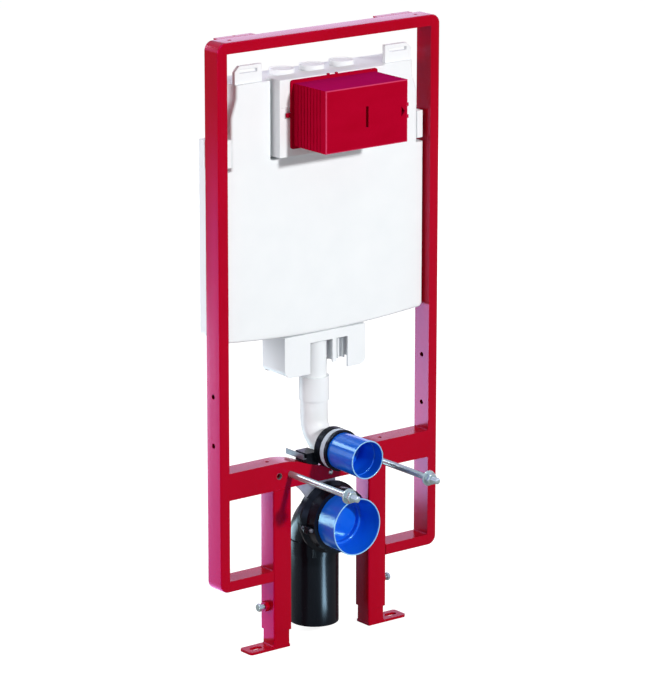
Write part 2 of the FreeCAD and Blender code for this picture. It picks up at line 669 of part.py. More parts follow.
def add_cross_rail():
    """Deep tube between the uprights whose top dips under the flush bend."""
    piece = Piece("cross_rail")
    far, wall = upright_inner, size.tube_wall
    piece.pad("XZ_Plane", frame_front, frame_back, polygon(
        [(-far, rail_bottom), (far, rail_bottom), (far, rail_top)] + dip_line(ZERO) + [(-far, rail_top)]
    ))
    inside_bottom, inside_top = rail_bottom + wall, rail_top - wall
    end = far + wall
    piece.pocket("XZ_Plane", frame_front + wall, frame_back - wall, polygon(
        [(-end, inside_bottom), (end, inside_bottom), (end, inside_top)] + dip_line(-wall) + [(-end, inside_top)]
    ))
    sleeve_radius = size.sleeve_bore / 2 + size.sleeve_wall + size.thread_gap
    offsets = [side * spacing / 2 for spacing in (size.stud_distance, size.spare_distance) for side in (LEFT, RIGHT)]
    piece.pocket("XZ_Plane", frame_front - wall, frame_back + wall, *[
        circle(offset, size.stud_height, sleeve_radius) for offset in offsets
    ])
    piece.pocket("XZ_Plane", frame_front - wall, frame_front + 2 * wall, circle(
        ZERO, (size.stud_height - size.rail_screw_drop), size.rail_screw_shank / 2 + size.thread_gap
    ))
    piece.pocket("XY_Plane", rail_top - 2 * wall, rail_top + wall, *[
        circle(side * size.rail_top_hole_offset, ZERO, size.rail_top_hole_diameter / 2) for side in (LEFT, RIGHT)
    ])


def add_bottom_rail(side):
    """Short tube from an upright to its leg."""
    piece = Piece(f"{SIDE_NAMES[side]}_bottom_rail")
    low, high = span(side, leg_outer_face, upright_inner)
    piece.pad("YZ_Plane", low, high, *tube_section(size.frame_bottom, size.frame_bottom + size.tube_face, False))


def leg_section(side, across, wall):
    """Section of a square leg tube."""
    reach, middle, radius = across / 2, side * leg_middle, size.leg_corner_radius
    inside = reach - wall
    return (
        rounded(middle - reach, middle + reach, -reach, reach, radius),
        rectangle(middle - inside, middle + inside, -inside, inside),
    )


def add_leg(side):
    """Outer leg tube under the cross rail, drilled for its clamp screw."""
    piece = Piece(f"{SIDE_NAMES[side]}_leg")
    piece.pad("XY_Plane", size.leg_bottom, rail_bottom, *leg_section(side, size.leg_size, size.leg_wall))
    low, high = span(side, leg_outer_face - 2 * size.leg_wall, leg_outer_face + size.leg_wall)
    radius = size.clamp_screw_diameter / 2 + size.thread_gap
    piece.pocket("YZ_Plane", low, high, circle(ZERO, size.clamp_height, radius))


def add_inner_leg(side):
    """Tube that stands on the foot plate and slides in the outer leg."""
    piece = Piece(f"{SIDE_NAMES[side]}_inner_leg")
    section = leg_section(side, inner_leg_size, size.inner_leg_wall)
    piece.pad("XY_Plane", size.foot_thickness, rail_bottom - size.inner_leg_room, *section)


def add_foot_plate(side):
    """Floor plate that reaches outwards from the leg, with clipped corners and a bolt slot."""
    piece = Piece(f"{SIDE_NAMES[side]}_foot_plate")
    reach, clip = size.foot_depth / 2, size.foot_clip
    near = leg_middle - inner_leg_size / 2
    piece.pad("XY_Plane", ZERO, size.foot_thickness, polygon(mirrored(side, [
        (near, -reach), (foot_outer - clip, -reach), (foot_outer, clip - reach),
        (foot_outer, reach - clip), (foot_outer - clip, reach), (near, reach),
    ])))
    low, high = span(side, slot_middle - size.slot_length / 2, slot_middle + size.slot_length / 2)
    beyond = size.foot_thickness
    piece.pocket("XY_Plane", -beyond, 2 * beyond, obround(low, high, ZERO, size.slot_width / 2))


def add_clamp(side):
    """Nut welded to the outer side of the leg, and the hexagon screw that holds the inner leg."""
    nut = Piece(f"{SIDE_NAMES[side]}_clamp_nut")
    shank = size.clamp_screw_diameter / 2
    nut_end = leg_outer_face + size.clamp_nut_thickness
    low, high = span(side, leg_outer_face, nut_end)
    nut.pad("YZ_Plane", low, high, hexagon(ZERO, size.clamp_height, size.clamp_nut_width),
            circle(ZERO, size.clamp_height, shank + size.thread_gap))
    screw = Piece(f"{SIDE_NAMES[side]}_clamp_screw")
    tip = leg_middle + inner_leg_size / 2 + size.clamp_tip_gap
    head = nut_end + size.clamp_head_standoff
    screw.pad("YZ_Plane", *span(side, tip, head), circle(ZERO, size.clamp_height, shank))
    screw.pad("YZ_Plane", *span(side, head, head + size.clamp_head_height),
              hexagon(ZERO, size.clamp_height, size.clamp_head_width))


# Pan fixings

def add_stud_sleeves():
    """Sleeves through the cross rail, for the studs and for the wider stud spacing."""
    rings = []
    for spacing in (size.stud_distance, size.spare_distance):
        for side in (LEFT, RIGHT):
            outside = add_rod("sleeve", size.sleeve_bore / 2 + size.sleeve_wall, side * spacing / 2)
            bore = add_rod("bore", size.sleeve_bore / 2, side * spacing / 2)
            ring = doc.addObject("Part::Cut", "Sleeve")
            ring.Base = outside
            ring.Tool = bore
            rings.append(ring)
    sleeves = doc.addObject("Part::Compound", "stud_sleeves")
    sleeves.Label = "stud_sleeves"
    sleeves.Links = rings
    pieces.append(sleeves)


def add_rod(name, radius, across):
    """A cylinder through the cross rail at stud height."""
    rod = doc.addObject("Part::Cylinder", name)
    rod.Placement = FreeCAD.Placement(FreeCAD.Vector(), FreeCAD.Rotation(FreeCAD.Vector(1, 0, 0), -90))
    rod.setExpression("Radius", radius.text)
    rod.setExpression("Height", (size.tube_depth + size.sleeve_tail).text)
    rod.setExpression("Placement.Base.x", across.text)
    rod.setExpression("Placement.Base.y", frame_front.text)
    rod.setExpression("Placement.Base.z", size.stud_height.text)
    return rod


def add_stud(side):
    """Threaded rod with its washer and nut."""
    across = side * size.stud_distance / 2
    radius, chamfer = size.stud_diameter / 2, size.stud_chamfer
    front, back = frame_front - size.stud_reach, frame_back + size.stud_tail
    stud = Piece(f"{SIDE_NAMES[side]}_stud")
    stud.revolve("YZ_Plane", across, "H_Axis", [
        (front, ZERO), (back, ZERO), (back, radius - chamfer), (back - chamfer, radius),
        (front + chamfer, radius), (front, radius - chamfer),
    ], up=size.stud_height)
    bore = circle(across, size.stud_height, radius + size.thread_gap)
    washer = Piece(f"{SIDE_NAMES[side]}_stud_washer")
    washer_back = frame_front - size.washer_setback
    washer_front = washer_back - size.washer_thickness
    washer.pad("XZ_Plane", washer_front, washer_back,
               circle(across, size.stud_height, size.washer_diameter / 2), bore)
    nut = Piece(f"{SIDE_NAMES[side]}_stud_nut")
    nut.pad("XZ_Plane", washer_front - size.nut_thickness, washer_front,
            hexagon(across, size.stud_height, size.nut_width), bore)


def add_rail_screw():
    """Small round headed screw in the middle of the cross rail."""
    piece = Piece("rail_screw")
    head, shank = size.rail_screw_head / 2, size.rail_screw_shank / 2
    front = frame_front - size.rail_screw_head_height
    piece.revolve("YZ_Plane", ZERO, "H_Axis", [
        (front, ZERO), (frame_front + size.rail_screw_length, ZERO), (frame_front + size.rail_screw_length, shank),
        (frame_front, shank), (frame_front, head), (frame_front - size.rail_screw_head_height / 2, head),
        (front, head / 2),
    ], up=(size.stud_height - size.rail_screw_drop))


# White cistern

def add_cistern_tank():
    """Flat moulded tank: wide below, narrower between its clips, recessed round the service neck."""
    piece = Piece("cistern_tank")
    corner, sag = size.tank_corner_radius, size.tank_sag
    flat = tank_half - corner
    low = tank_bottom + sag
    bottom_radius = (flat * flat + sag * sag) / (2 * sag)
    piece.pad("XZ_Plane", size.tank_front, tank_back, polygon([
        (-flat, low, bottom_radius, 1), (flat, low, corner, 1), (tank_half, low + corner),
        (tank_half, tank_shoulder), (-tank_half, tank_shoulder), (-tank_half, low + corner, corner, 1),
    ]))
    cheek_top = tank_top - size.cheek_drop
    right_side = [
        (upper_half, tank_shoulder), (upper_half, cheek_top - size.cheek_height),
        (cheek_half, cheek_top), (cheek_half, tank_top),
    ]
    left_side = [(-u, v) for u, v in reversed(right_side)]
    piece.pad("XZ_Plane", size.tank_front, tank_back, polygon(right_side + left_side))
    piece.fillet(size.tank_edge_radius, lambda edge: (
        lies(edge, y=size.tank_front) or lies(edge, y=tank_back)
    ) and not lies(edge, z=tank_shoulder) and not lies(edge, z=tank_top))
    above = tank_top + size.recess_depth
    piece.pocket("XZ_Plane", size.tank_front - size.recess_gap, neck_back, rectangle(
        -recess_half, recess_half, neck_bottom - size.recess_gap, above
    ))
    wall = size.tank_wall
    lower, upper = tank_half - wall, cheek_half - wall
    neck_of_tank = tank_shoulder - wall
    piece.pocket("XZ_Plane", size.tank_front + wall, tank_back - wall, rectangle(
        -lower, lower, low + wall, neck_of_tank
    ))
    piece.pocket("XZ_Plane", neck_back + wall, tank_back - wall, rectangle(
        -upper, upper, neck_of_tank - wall, tank_top - wall
    ))


def add_cistern_lug(side):
    """Upright lug on the cistern with a slot near its top."""
    piece = Piece(f"{SIDE_NAMES[side]}_cistern_lug")
    far = cheek_half
    near = far - size.lug_width
    top = tank_top + size.lug_height
    chamfer = size.lug_chamfer
    back = size.tank_front + size.tank_edge_radius + size.lug_thickness
    front = back - size.lug_thickness
    piece.pad("XZ_Plane", front, back, polygon(mirrored(side, [
        (near, tank_top), (far, tank_top), (far, top - chamfer), (far - chamfer, top), (near, top),
    ])))
    middle = (near + far) / 2
    low, high = span(side, middle - size.lug_slot_length / 2, middle + size.lug_slot_length / 2)
    slot_top = top - size.lug_slot_drop
    piece.pocket("XZ_Plane", front - size.lug_thickness, back + size.lug_thickness, rectangle(
        low, high, slot_top - size.lug_slot_height, slot_top
    ))


def add_port_cap(name, number):
    """Dished cap on one of the inlet ports in the top of the cistern."""
    piece = Piece(f"{name}_port_cap")
    radius, top = size.port_diameter / 2, size.port_height
    inside = radius - size.port_rim
    piece.revolve("XZ_Plane", -(size.tank_front + size.port_setback), "V_Axis", [
        (ZERO, ZERO), (radius, ZERO), (radius, top), (inside, top),
        (inside - size.port_dish, top - size.port_dish), (ZERO, top - size.port_dish),
    ], across=number * size.port_distance, up=tank_top)


def add_cistern_clip(side):
    """Clip beside the cistern that hooks round the back of the upright."""
    piece = Piece(f"{SIDE_NAMES[side]}_cistern_clip")
    near = upper_half + size.seat_gap
    far = upright_inner - size.clip_gap
    hook_front = frame_back + size.seat_gap
    hook_back = hook_front + size.clip_hook
    low = tank_shoulder + size.clip_rise
    piece.pad("XY_Plane", low, low + size.clip_height, polygon(mirrored(side, [
        (near, size.tank_front), (far, size.tank_front), (far, hook_front),
        (half_width, hook_front), (half_width, hook_back), (near, hook_back),
    ])))


def add_service_neck():
    """Frame round the service opening: a front plate on two walls, with a tray behind the protection box."""
    piece = Piece("service_neck")
    wall, middle = size.neck_wall, box_middle
    across, up = flange_half_width - size.seat_inset, flange_half_height - size.seat_inset
    inset = size.seat_wall
    piece.pad("XZ_Plane", neck_front, neck_back, rectangle(-neck_half, neck_half, neck_bottom, neck_top))
    far, low = neck_half - wall, neck_bottom + wall
    piece.pocket("XZ_Plane", neck_front + size.neck_plate, neck_back + wall,
                 rectangle(-far, -across, low, neck_top - wall), rectangle(across, far, low, neck_top - wall),
                 rectangle(inset - across, across - inset, low, middle - up))
    piece.pocket("XZ_Plane", neck_front - wall, neck_back - size.neck_floor, rectangle(
        inset - across, across - inset, middle - up + inset, middle + up - inset
    ))
    latch = size.latch_height / 2
    for side in (LEFT, RIGHT):
        latch_x = span(side, flange_half_width - size.seat_inset, neck_half - size.latch_margin)
        piece.pocket("XZ_Plane", neck_front - wall, neck_front + size.latch_depth, rectangle(
            *latch_x, middle - latch / 2, middle + latch
        ))


def add_protection_box():
    """Red site cover: a box on a flange, with trim grooves down both sides, catches and openings in its front."""
    piece = Piece("protection_box")
    middle, across, up = box_middle, size.box_width / 2, size.box_height / 2
    low, high = middle - flange_half_height, middle + flange_half_height
    piece.pad("XZ_Plane", flange_front, neck_front,
              rounded(-flange_half_width, flange_half_width, low, high, size.flange_radius))
    piece.pad("XZ_Plane", box_front, flange_front, rectangle(-across, across, middle - up, middle + up))
    piece.fillet(size.box_edge_radius, lambda edge: lies(edge, y=box_front))
    for side in (LEFT, RIGHT):
        tab = span(side, flange_half_width - size.flange_lip, flange_half_width + size.tab_length)
        piece.pad("XZ_Plane", flange_front, neck_front,
                  rectangle(*tab, middle - size.tab_height / 2, middle + size.tab_height / 2))
        tab_middle = side * size.lip_tab_distance / 2 - size.lip_tab_offset
        piece.pad("XZ_Plane", flange_front, neck_front, rectangle(
            tab_middle - size.lip_tab_width / 2, tab_middle + size.lip_tab_width / 2,
            high - size.flange_lip, high + size.lip_tab_height
        ))
        catch = middle + side * size.catch_distance / 2
        catch_front = box_front + size.catch_setback
        piece.pad("XZ_Plane", catch_front, catch_front + size.catch_depth, rectangle(
            across - size.box_wall / 2, across + size.catch_reach,
            catch - size.catch_height / 2, catch + size.catch_height / 2
        ))
    wall = size.box_wall
    piece.pocket("XZ_Plane", box_front + wall, neck_front, rectangle(
        wall - across, across - wall, middle - up + wall, middle + up - wall
    ))
    for side in (LEFT, RIGHT):
        groove_x = span(side, across - size.groove_depth, across + size.groove_depth)
        last = flange_front - size.groove_start - size.groove_pitch * (size.groove_count - 1)
        groove = piece.pocket("XZ_Plane", last - size.groove_width / 2, last + size.groove_width / 2, rectangle(
            *groove_x, middle - up - size.groove_depth, middle + up + size.groove_depth
        ))
        piece.repeat(groove, "Y_Axis", size.groove_pitch, size.groove_count)
    window, marker, slit = size.window_height / 2, size.marker_height / 2, size.window_width / 2
    point = across - size.marker_margin
    blunt = point - size.marker_width
    well_back = box_front + size.well_depth
    piece.pad("XZ_Plane", box_front + wall / 2, well_back + wall,
              rectangle(-slit - wall, slit + wall, middle - window - wall, middle + window + wall),
              rectangle(blunt - wall, point + wall, middle - marker - wall, middle + marker + wall))
    piece.pocket("XZ_Plane", box_front - wall, well_back,
                 rectangle(-slit, slit, middle - window, middle + window),
                 polygon([(blunt, middle - marker), (point, middle), (blunt, middle + marker)]))


# Flush side

def add_outlet_skirt():
    """Skirt under the cistern, open below, with two openings in its front and a ribbed wall behind one of them."""
    piece = Piece("outlet_skirt")
    across, wall, corner = size.skirt_width / 2, size.skirt_wall, size.skirt_corner_radius
    low, back = skirt_bottom, skirt_front + size.skirt_depth
    piece.pad("XZ_Plane", skirt_front, back, polygon([
        (-across + corner, low), (across - corner, low, corner, 1), (across, low + corner),
        (across, skirt_top), (-across, skirt_top), (-across, low + corner, corner, 1),
    ]))
    piece.pocket("XY_Plane", low - wall, skirt_top - wall, rectangle(
        wall - across, across - wall, skirt_front + wall, back - wall
    ))
    top = low + size.notch_height
    piece.pocket("XZ_Plane", skirt_front - wall, skirt_front + 2 * wall, polygon([
        (-size.notch_left, low - wall), (size.grille_far, low - wall), (size.grille_far, top),
        (size.grille_near, top), (size.grille_near, low + size.grille_lift),
        (size.notch_right, low + size.grille_lift), (size.notch_right, top), (-size.notch_left, top),
    ]))
    grille = skirt_front + size.grille_setback
    foot = low + size.grille_lift
    piece.pad("XZ_Plane", grille, grille + size.grille_wall, rectangle(
        size.grille_near, size.grille_far + wall, foot, skirt_top - wall / 2
    ))
    rib = piece.pad("XZ_Plane", grille - size.grille_rib_depth, grille + size.grille_wall / 2, rectangle(
        size.grille_near, size.grille_near + size.grille_rib_width, foot, skirt_top - wall / 2
    ))
    pitch = (size.grille_far + wall - size.grille_near - size.grille_rib_width) / (size.grille_rib_count - 1)
    piece.repeat(rib, "X_Axis", pitch, size.grille_rib_count)


def add_flush_outlet():
    """Spigot of the cistern's outlet, pushed into the socket of the flush pipe."""
    piece = Piece("flush_outlet")
    low = flush_socket_top - size.spigot_insert
    piece.pad("XY_Plane", low, skirt_top - size.skirt_wall, circle(ZERO, pipe_y, spigot_radius))


def add_flush_pipe():
    """White pipe from its socket down to the bend and forward over the cross rail."""
    piece = Piece("flush_pipe")
    top, bend = flush_socket_top, size.flush_bend_radius
    route = [path([
        (pipe_y, top), (pipe_y, flush_height + bend, bend, -1),
        (pipe_y - bend, flush_height), (-size.flush_front, flush_height),
    ])]
    bore = flush_radius - size.flush_wall
    spine = piece.sketch("YZ_Plane", ZERO, route)
    section = piece.sketch("XY_Plane", top, [circle(ZERO, pipe_y, flush_radius), circle(ZERO, pipe_y, bore)])
    piece.pipe("PartDesign::AdditivePipe", section, spine)
    piece.pad("XY_Plane", top - size.flush_socket_length, top,
              circle(ZERO, pipe_y, flush_radius + size.flush_socket_wall),
              circle(ZERO, pipe_y, flush_radius - size.flush_wall / 2))


def dip_height(offset):
    """Height of the cross rail's top near the middle of its dip."""
    return dip_bottom + dip_radius - (dip_radius * dip_radius - offset * offset).root()


def add_flush_clamp():
    """Ribbed clamp ring round the flush pipe, with a foot that stands on the cross rail."""
    piece = Piece("flush_clamp")
    radius, bore = size.clamp_ring_diameter / 2, flush_radius + size.ring_gap
    middle = flush_height
    piece.pad("XZ_Plane", clamp_ring_front, clamp_ring_back,
              circle(ZERO, middle, radius), circle(ZERO, middle, bore))
    near, far = -size.clamp_foot_near, -size.clamp_foot_far
    lift = size.seat_gap
    piece.pad("XZ_Plane", clamp_ring_back, size.clamp_foot_tail, polygon([
        (far, dip_height(far) + lift, dip_radius, 1), (near, dip_height(near) + lift),
        (near, clamp_foot_top), (far, clamp_foot_top),
    ]))
    pitch = size.clamp_ring_width / size.clamp_rib_count
    groove = piece.revolve("YZ_Plane", ZERO, "H_Axis", [
        (clamp_ring_front + pitch / 4, radius - size.clamp_rib_depth),
        (clamp_ring_front + 3 * pitch / 4, radius - size.clamp_rib_depth),
        (clamp_ring_front + 3 * pitch / 4, radius + size.clamp_rib_depth),
        (clamp_ring_front + pitch / 4, radius + size.clamp_rib_depth),
    ], up=middle, kind="PartDesign::Groove")
    piece.repeat(groove, "Y_Axis", pitch, size.clamp_rib_count)


def add_clamp_strip():
    """Bent metal strip beside the clamp's foot, with an upright outer side."""
    piece = Piece("clamp_strip")
    outer, inner, foot = -size.strip_far, size.strip_sheet - size.strip_far, -size.clamp_foot_far
    high = clamp_foot_top
    low = high - size.strip_height
    level = low + size.strip_sheet
    piece.pad("XZ_Plane", clamp_ring_back, size.strip_tail, polygon([
        (outer, low), (foot, low), (foot, level), (inner, level), (inner, high), (outer, high),
    ]))


def add_pushed_ring(name, diameter, front, back):
    """Plain ring pushed over the flush pipe."""
    piece = Piece(name)
    piece.pad("XZ_Plane", front, back, circle(ZERO, flush_height, diameter / 2),
              circle(ZERO, flush_height, flush_radius + size.ring_gap))


def add_flush_cap():
    """Small blue cup over the flush pipe's end: open to the front, stepped inside, with a socket behind its floor."""
    piece = Piece("flush_cap")
    back = lip_ring_front
    front = back - size.flush_cap_length
    socket = flush_radius + size.ring_gap
    floor_back = -size.flush_front - size.ring_gap
    floor_front = floor_back - size.cap_floor
    inside = size.flush_cap_mouth / 2 - size.cap_wall
    narrow = inside - size.cap_step
    deep = size.flush_cap_back / 2 - size.cap_wall - size.cap_step
    step = front + size.cap_step_depth
    piece.revolve("YZ_Plane", ZERO, "H_Axis", [
        (front, inside), (front, size.flush_cap_mouth / 2), (back, size.flush_cap_back / 2), (back, socket),
        (floor_back, socket), (floor_back, ZERO), (floor_front, ZERO), (floor_front, deep), (step, narrow),
        (step, inside),
    ], up=flush_height)


# Waste side

def add_waste_bend():
    """Black bend from the open end near the floor to the collar behind the big cap, bored all along."""
    piece = Piece("waste_bend")
    height, bend = waste_height, size.waste_bend_radius
    low = size.waste_bottom

    def route(start, end):
        return [path([
            (pipe_y, start), (pipe_y, height - bend, bend, 1), (pipe_y - bend, height), (end, height),
        ])]

    spine = piece.sketch("YZ_Plane", ZERO, route(low, -size.waste_front))
    section = piece.sketch("XY_Plane", low, [circle(ZERO, pipe_y, waste_radius)])
    piece.pipe("PartDesign::AdditivePipe", section, spine)
    hub, collar, flange = size.hub_diameter / 2, size.collar_diameter / 2, size.collar_flange_diameter / 2
    flange_face = -size.collar_back - size.collar_flange_width
    piece.revolve("YZ_Plane", ZERO, "H_Axis", [
        (collar_front, ZERO), (hub_back, ZERO), (hub_back, hub), (-size.collar_back, hub),
        (-size.collar_back, flange), (flange_face, flange), (flange_face - size.collar_shoulder, collar),
        (collar_front, collar),
    ], up=height)
    reach = size.gusset_width / 2
    under = height - size.gusset_drop
    piece.pad("XZ_Plane", -size.gusset_reach, pipe_y, rectangle(-reach, reach, under, under + size.gusset_height))
    piece.pad("XY_Plane", under, height - bend, circle(ZERO, pipe_y, waste_radius + size.sleeve_step))
    bore = waste_radius - size.waste_wall
    beyond = size.waste_wall
    inner_spine = piece.sketch("YZ_Plane", ZERO, route(low - beyond, -size.waste_front - beyond))
    inner_section = piece.sketch("XY_Plane", low - beyond, [circle(ZERO, pipe_y, bore)])
    piece.pipe("PartDesign::SubtractivePipe", inner_section, inner_spine)


def add_waste_hanger():
    """Metal plate behind the collar of the waste bend: hangs from the cross rail and fits the hub."""
    piece = Piece("waste_hanger")
    seat = size.hub_diameter / 2 + size.seat_gap
    front = -size.collar_back + size.seat_gap
    near, foot = size.hanger_near, size.hanger_foot
    near_height = waste_height + (seat * seat - near * near).root()
    foot_height = waste_height + (seat * seat - foot * foot).root()
    piece.pad("XZ_Plane", front, front + size.hanger_sheet, polygon([
        (near, rail_bottom), (-size.hanger_far, rail_bottom, size.hanger_flare, -1),
        (-foot, foot_height, seat, -1), (near, near_height),
    ]))


def add_waste_cap():
    """Big blue cup in front of the collar: open to the front, with a plug that fits the waste pipe's bore."""
    piece = Piece("waste_cap")
    front = collar_front - size.waste_cap_length
    inside = size.waste_cap_mouth / 2 - size.cap_wall
    plug = waste_radius - size.waste_wall - size.ring_gap
    hollow = plug - size.cap_wall
    seat = collar_front - size.cap_wall
    floor_back = collar_front + size.plug_length
    floor_front = floor_back - size.cap_floor
    piece.revolve("YZ_Plane", ZERO, "H_Axis", [
        (front, inside), (front, size.waste_cap_mouth / 2), (collar_front, size.waste_cap_back / 2),
        (collar_front, plug), (floor_back, plug), (floor_back, ZERO), (floor_front, ZERO),
        (floor_front, hollow), (seat, hollow), (seat, hollow + size.plug_step),
    ], up=waste_height)
    piece.pocket("XZ_Plane", front, floor_front + size.cap_dimple_depth,
                 circle(ZERO, waste_height - size.dimple_drop, size.cap_dimple / 2))


for one_side in (LEFT, RIGHT):
    add_upright(one_side)
    add_wall_bracket(one_side)
    add_bottom_rail(one_side)
    add_leg(one_side)
    add_inner_leg(one_side)
    add_foot_plate(one_side)
    add_clamp(one_side)
    add_stud(one_side)
    add_cistern_lug(one_side)
    add_cistern_clip(one_side)
add_top_rail()
add_cross_rail()
add_stud_sleeves()
add_rail_screw()
add_cistern_tank()
for port_name, port_number in (("left", -1), ("middle", 0), ("right", 1)):
    add_port_cap(port_name, port_number)
add_service_neck()
add_protection_box()
add_outlet_skirt()
add_flush_outlet()
add_flush_pipe()
add_flush_clamp()
add_clamp_strip()
add_pushed_ring("flush_seal_ring", size.seal_ring_diameter, seal_ring_front, clamp_ring_front)
add_pushed_ring("flush_lip_ring", size.lip_ring_diameter, lip_ring_front, seal_ring_front)
add_flush_cap()
add_waste_bend()
add_waste_hanger()
add_waste_cap()

doc.recompute()
failed = [thing.Label for thing in doc.Objects if {"Invalid", "Error"} & set(thing.State)]
for thing in pieces:
    if thing.Shape.isNull() or not thing.Shape.isValid() or not thing.Shape.Solids:
        failed.append(thing.Label)
if failed:
    raise RuntimeError("These objects did not come out: " + ", ".join(failed))

os.makedirs("parts", exist_ok=True)
for thing in pieces:
    thing.Shape.exportStep(f"parts/{thing.Label}.step")
print(len(pieces), "pieces written")
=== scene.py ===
"""Looks of a wall hung toilet frame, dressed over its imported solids.

Metres, in the frame of the solids: +Z up, +X to the right seen from the room, the room towards -Y.
Solids keep their shape: a skin is a copy of a solid with merged corners and small rounded edges.
Threads, nuts and weld beads are surfaces worked out with numpy, and every finish is a node material on
Object coordinates.
"""
import json
import math

import bmesh
import bpy
import numpy as np
from mathutils import Matrix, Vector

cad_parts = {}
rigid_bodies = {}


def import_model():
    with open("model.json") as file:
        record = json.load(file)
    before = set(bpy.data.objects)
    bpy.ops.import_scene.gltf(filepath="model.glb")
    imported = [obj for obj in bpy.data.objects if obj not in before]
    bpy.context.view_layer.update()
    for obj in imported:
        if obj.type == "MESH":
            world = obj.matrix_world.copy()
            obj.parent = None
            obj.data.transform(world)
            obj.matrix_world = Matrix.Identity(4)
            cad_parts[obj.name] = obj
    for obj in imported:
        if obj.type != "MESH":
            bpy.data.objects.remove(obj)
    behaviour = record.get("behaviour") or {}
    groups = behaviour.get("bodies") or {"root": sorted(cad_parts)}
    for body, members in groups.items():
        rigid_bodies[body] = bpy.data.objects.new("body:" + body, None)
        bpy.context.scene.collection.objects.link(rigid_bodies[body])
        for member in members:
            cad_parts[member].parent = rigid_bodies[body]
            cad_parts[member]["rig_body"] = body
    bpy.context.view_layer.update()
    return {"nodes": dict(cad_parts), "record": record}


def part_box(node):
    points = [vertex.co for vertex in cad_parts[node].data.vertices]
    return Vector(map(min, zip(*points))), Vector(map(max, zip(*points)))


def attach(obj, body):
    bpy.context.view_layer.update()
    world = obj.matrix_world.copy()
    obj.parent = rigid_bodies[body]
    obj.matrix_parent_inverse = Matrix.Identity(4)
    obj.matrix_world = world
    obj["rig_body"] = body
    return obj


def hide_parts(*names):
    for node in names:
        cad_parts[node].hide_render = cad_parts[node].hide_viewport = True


MM = 0.001
LEFT = -1
RIGHT = 1
SIDE_NAMES = {LEFT: "left", RIGHT: "right"}
FULL_TURN = 2.0 * np.pi
MERGE = 1e-6

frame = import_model()
slot_of = {row["node"]: row["material_slot"] for row in frame["record"]["subparts"]}


class Value:
    """A number of a finish's node tree; + - and * on it add Math nodes."""

    def __init__(self, finish, socket):
        self.finish = finish
        self.socket = socket

    def combine(self, operation, first, second):
        return self.finish.node("ShaderNodeMath", {"operation": operation}, {0: first, 1: second})

    def __add__(self, other):
        return self.combine("ADD", self, other)

    def __radd__(self, other):
        return self.combine("ADD", other, self)

    def __sub__(self, other):
        return self.combine("SUBTRACT", self, other)

    def __rsub__(self, other):
        return self.combine("SUBTRACT", other, self)

    def __mul__(self, other):
        return self.combine("MULTIPLY", self, other)

    def __rmul__(self, other):
        return self.combine("MULTIPLY", other, self)

    def near(self, place, width):
        """1 where this is at a place, falling to 0 at a width from it."""
        away = self.finish.node("ShaderNodeMath", {"operation": "ABSOLUTE"}, {0: self - place})
        return self.finish.node(
            "ShaderNodeMath", {"operation": "SUBTRACT", "use_clamp": True}, {0: 1.0, 1: away * (1.0 / width)},
        )


class Finish:
    """The nodes of a material or world in the making; one method adds any node."""

    def __init__(self, owner):
        self.owner = owner
        owner.use_nodes = True
        self.tree = owner.node_tree
        self.tree.nodes.clear()

    def node(self, kind, settings=None, inputs=None, output=0):
        """A node with its settings, then the values or links of its sockets; gives one of its outputs."""
        made = self.tree.nodes.new(kind)
        for name, value in (settings or {}).items():
            setattr(made, name, value)
        for name, value in (inputs or {}).items():
            if isinstance(value, Value):
                self.tree.links.new(value.socket, made.inputs[name])
            else:
                made.inputs[name].default_value = value
        return Value(self, made.outputs[output]) if made.outputs else None

    def noise(self, scale, detail, stretch=(1.0, 1.0, 1.0)):
        """Noise round zero on Object coordinates, with scale as its number of lumps in a metre."""
        place = self.node("ShaderNodeTexCoord", output="Object")
        stretched = self.node("ShaderNodeMapping", inputs={"Vector": place, "Scale": stretch})
        lumps = self.node(
            "ShaderNodeTexNoise", inputs={"Vector": stretched, "Scale": scale, "Detail": detail},
        )
        return lumps - 0.5

    def place(self, axis):
        """Object coordinate along X, Y or Z, in metres."""
        place = self.node("ShaderNodeTexCoord", output="Object")
        return self.node("ShaderNodeSeparateXYZ", inputs={"Vector": place}, output=axis)

    def ray(self, kind):
        """1 on Camera, Glossy or Transmission rays and 0 on others."""
        return self.node("ShaderNodeLightPath", output=f"Is {kind} Ray")

    def ramp(self, value, start, end, low, high):
        """Smooth change from low to high as a value goes from start to end."""
        return self.node("ShaderNodeMapRange", {"interpolation_type": "SMOOTHSTEP"}, {
            "Value": value, "From Min": start, "From Max": end, "To Min": low, "To Max": high,
        })

    def shade(self, dark, light, amount):
        """Colour that goes from dark to light as amount goes from 0 to 1; each may be another shade."""
        first, second = (end if isinstance(end, Value) else (*end, 1.0) for end in (dark, light))
        return self.node(
            "ShaderNodeMix", {"data_type": "RGBA", "clamp_factor": True},
            {0: amount, 6: first, 7: second}, output=2,
        )

    def bump(self, height, distance, strength, below=None):
        """Normal that a height in metres gives, over another bump's normal where one is given."""
        inputs = {"Height": height, "Distance": distance, "Strength": strength}
        if below is not None:
            inputs["Normal"] = below
        return self.node("ShaderNodeBump", inputs=inputs)

    def surface(self, **inputs):
        """Ends the material in a Principled shader with these sockets."""
        named = {
            name.replace("_", " ").title().replace("Ior", "IOR"): value for name, value in inputs.items()
        }
        shader = self.node("ShaderNodeBsdfPrincipled", inputs=named)
        self.node("ShaderNodeOutputMaterial", inputs={"Surface": shader})
        return self.owner


# Finishes

BOX_HALF_WIDTH = 90 * MM
BOX_TOP = 1035.5 * MM
BOX_HEIGHT = 111 * MM
BOX_EDGE_HIGHLIGHT = 2.2 * MM
CAP_RIM_HIGHLIGHT = 1.6 * MM
DARK_ZINC_SHADE = 0.34


